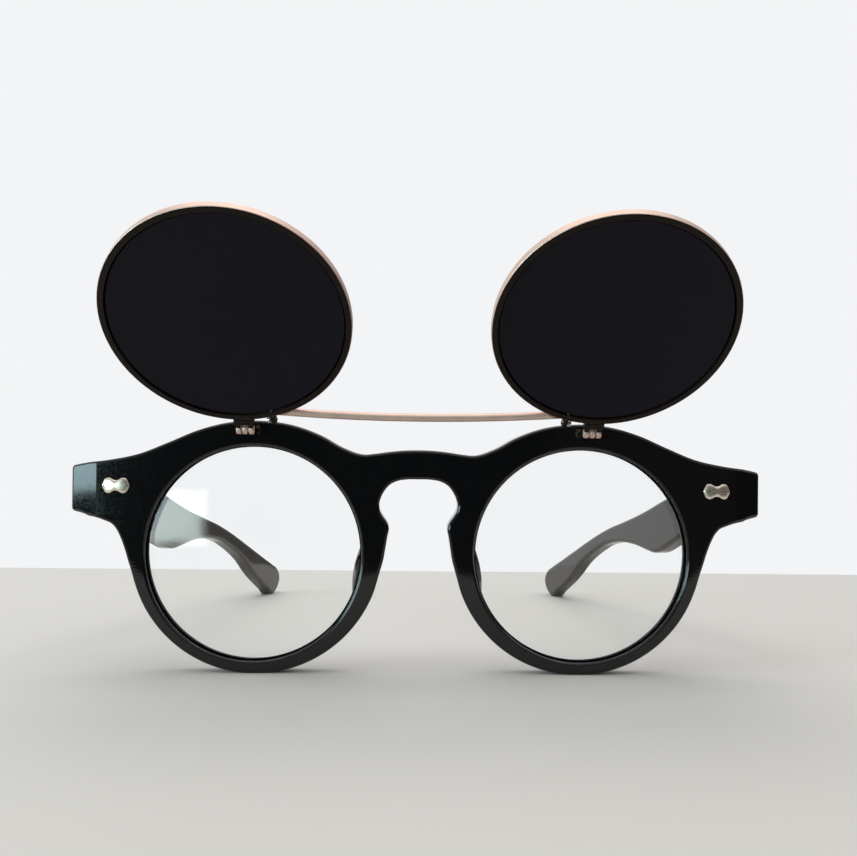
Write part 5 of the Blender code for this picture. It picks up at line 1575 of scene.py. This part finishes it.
def rim_lock():
    """The small block across the slit, bored for its screw, in the flip's frame."""
    seat = SUN_RIM_RADIUS + GAP
    far = Vector((LOCK_LENGTH / 2, LOCK_DEPTH / 2, seat + LOCK_RADIAL))
    block = box_mesh("lock", (-far.x, -far.y, seat), far)
    middle = seat + LOCK_RADIAL / 2
    reach = far.x + OVERRUN
    bore = rod_mesh("bore", LOCK_BORE_RADIUS, (-reach, 0.0, middle), (reach, 0.0, middle))
    return at_lock(softened(boolean(block, [bore], "DIFFERENCE"), FLIP_EDGE))


def rim_screw():
    """The lock's screw: a slotted head outside the block and its shank through it."""
    middle = SUN_RIM_RADIUS + GAP + LOCK_RADIAL / 2
    head = slotted_head(LOCK_HEAD_RADIUS, LOCK_HEAD_HEIGHT, SMALL_SLOT_SHARE)
    head_x = LOCK_LENGTH / 2 + GAP
    head.transform(Matrix.Translation((head_x, 0.0, middle)) @ Matrix.Rotation(QUARTER, 4, "Y"))
    start = (-LOCK_LENGTH / 2, 0.0, middle)
    shank = rod_mesh("shank", LOCK_SCREW_RADIUS, start, (head_x + FLIP_EDGE, 0.0, middle))
    return at_lock(merged("rim_screw", [head, shank]))


# The lock is painted dark all over, as painted shade and painted dark reflection.
add_both("rim_lock", "filed", rim_lock(), FLIP, SHADE_PAINT, "flip")
add_both("rim_screw", "slotted", rim_screw(), FLIP, NICKEL, "flip")

# %% Bowed bar
BAR_STEPS = 96
BAR_SIDES = 32


def bar_tree():
    """A round wire along a bow, with closed ends."""
    tree, sizes = new_tree("bowed_bar", ("Half Length", "Height", "Bow", "Radius"), (
        ("back", "MULTIPLY", "Half Length", -1.0), ("dip", "SUBTRACT", "Height", "Bow"),
        ("peak", "ADD", "Height", "Bow"),
    ))
    start = add_node(tree, "ShaderNodeCombineXYZ", {"X": sizes["back"], "Z": sizes["dip"]})
    end = add_node(tree, "ShaderNodeCombineXYZ", {"X": sizes["Half Length"], "Z": sizes["dip"]})
    pull = add_node(tree, "ShaderNodeCombineXYZ", {"Z": sizes["peak"]})
    bow = add_node(tree, "GeometryNodeCurveQuadraticBezier", {
        "Resolution": BAR_STEPS, "Start": start, "Middle": pull, "End": end,
    })
    wire = add_node(tree, "GeometryNodeCurvePrimitiveCircle", {
        "Resolution": BAR_SIDES, "Radius": sizes["Radius"],
    })
    swept = add_node(tree, "GeometryNodeCurveToMesh", {
        "Curve": bow, "Profile Curve": wire, "Fill Caps": True,
    })
    return close_tree(tree, swept, sizes["Material"])


def flip_bar():
    """The bar between the rims, cut to meet them and to clear the locks."""
    bar = run_tree(bar_tree(), "flip_bar", {
        "Half Length": SUN_FROM_CENTRE - BAR_END_FROM_RIM_CENTRE, "Height": -BAR_BELOW_AXIS,
        "Bow": BAR_BOW, "Radius": BAR_RADIUS, "Material": ROSE_GOLD,
    })
    cuts = []
    for sign in (1, -1):
        near = (-LOCK_LENGTH / 2 - GAP, -LOCK_DEPTH, SUN_RIM_RADIUS)
        far = (LOCK_LENGTH / 2 + GAP, LOCK_DEPTH, SUN_RIM_RADIUS + 2 * LOCK_RADIAL)
        clear = at_lock(box_mesh("lock_clearance", near, far))
        cuts += [sided(rim_clearance(), sign), sided(clear, sign)]
    return boolean(bar, cuts, "DIFFERENCE")


add_piece("flip_bar_bowed", flip_bar(), FLIP, ROSE_GOLD, "flip", ["flip_bar"])

# %% [markdown]
# ## What stays as the frame made it
#
# The core wires run inside the temples and never show, so their own solids stay. They still get
# the finish of drawn steel.

# %% Core wires
for side in ("left", "right"):
    wire = frame["nodes"][side + "_core_wire"]
    wire.data.materials.clear()
    wire.data.materials.append(NICKEL)
print("core wires kept")

# %% [markdown]
# ## Clearing up
#
# The bench held shapes while they were worked on. Its leftovers go.

# %% Finish
for thing in list(BENCH.objects):
    bpy.data.objects.remove(thing, do_unlink=True)
bpy.data.collections.remove(BENCH)
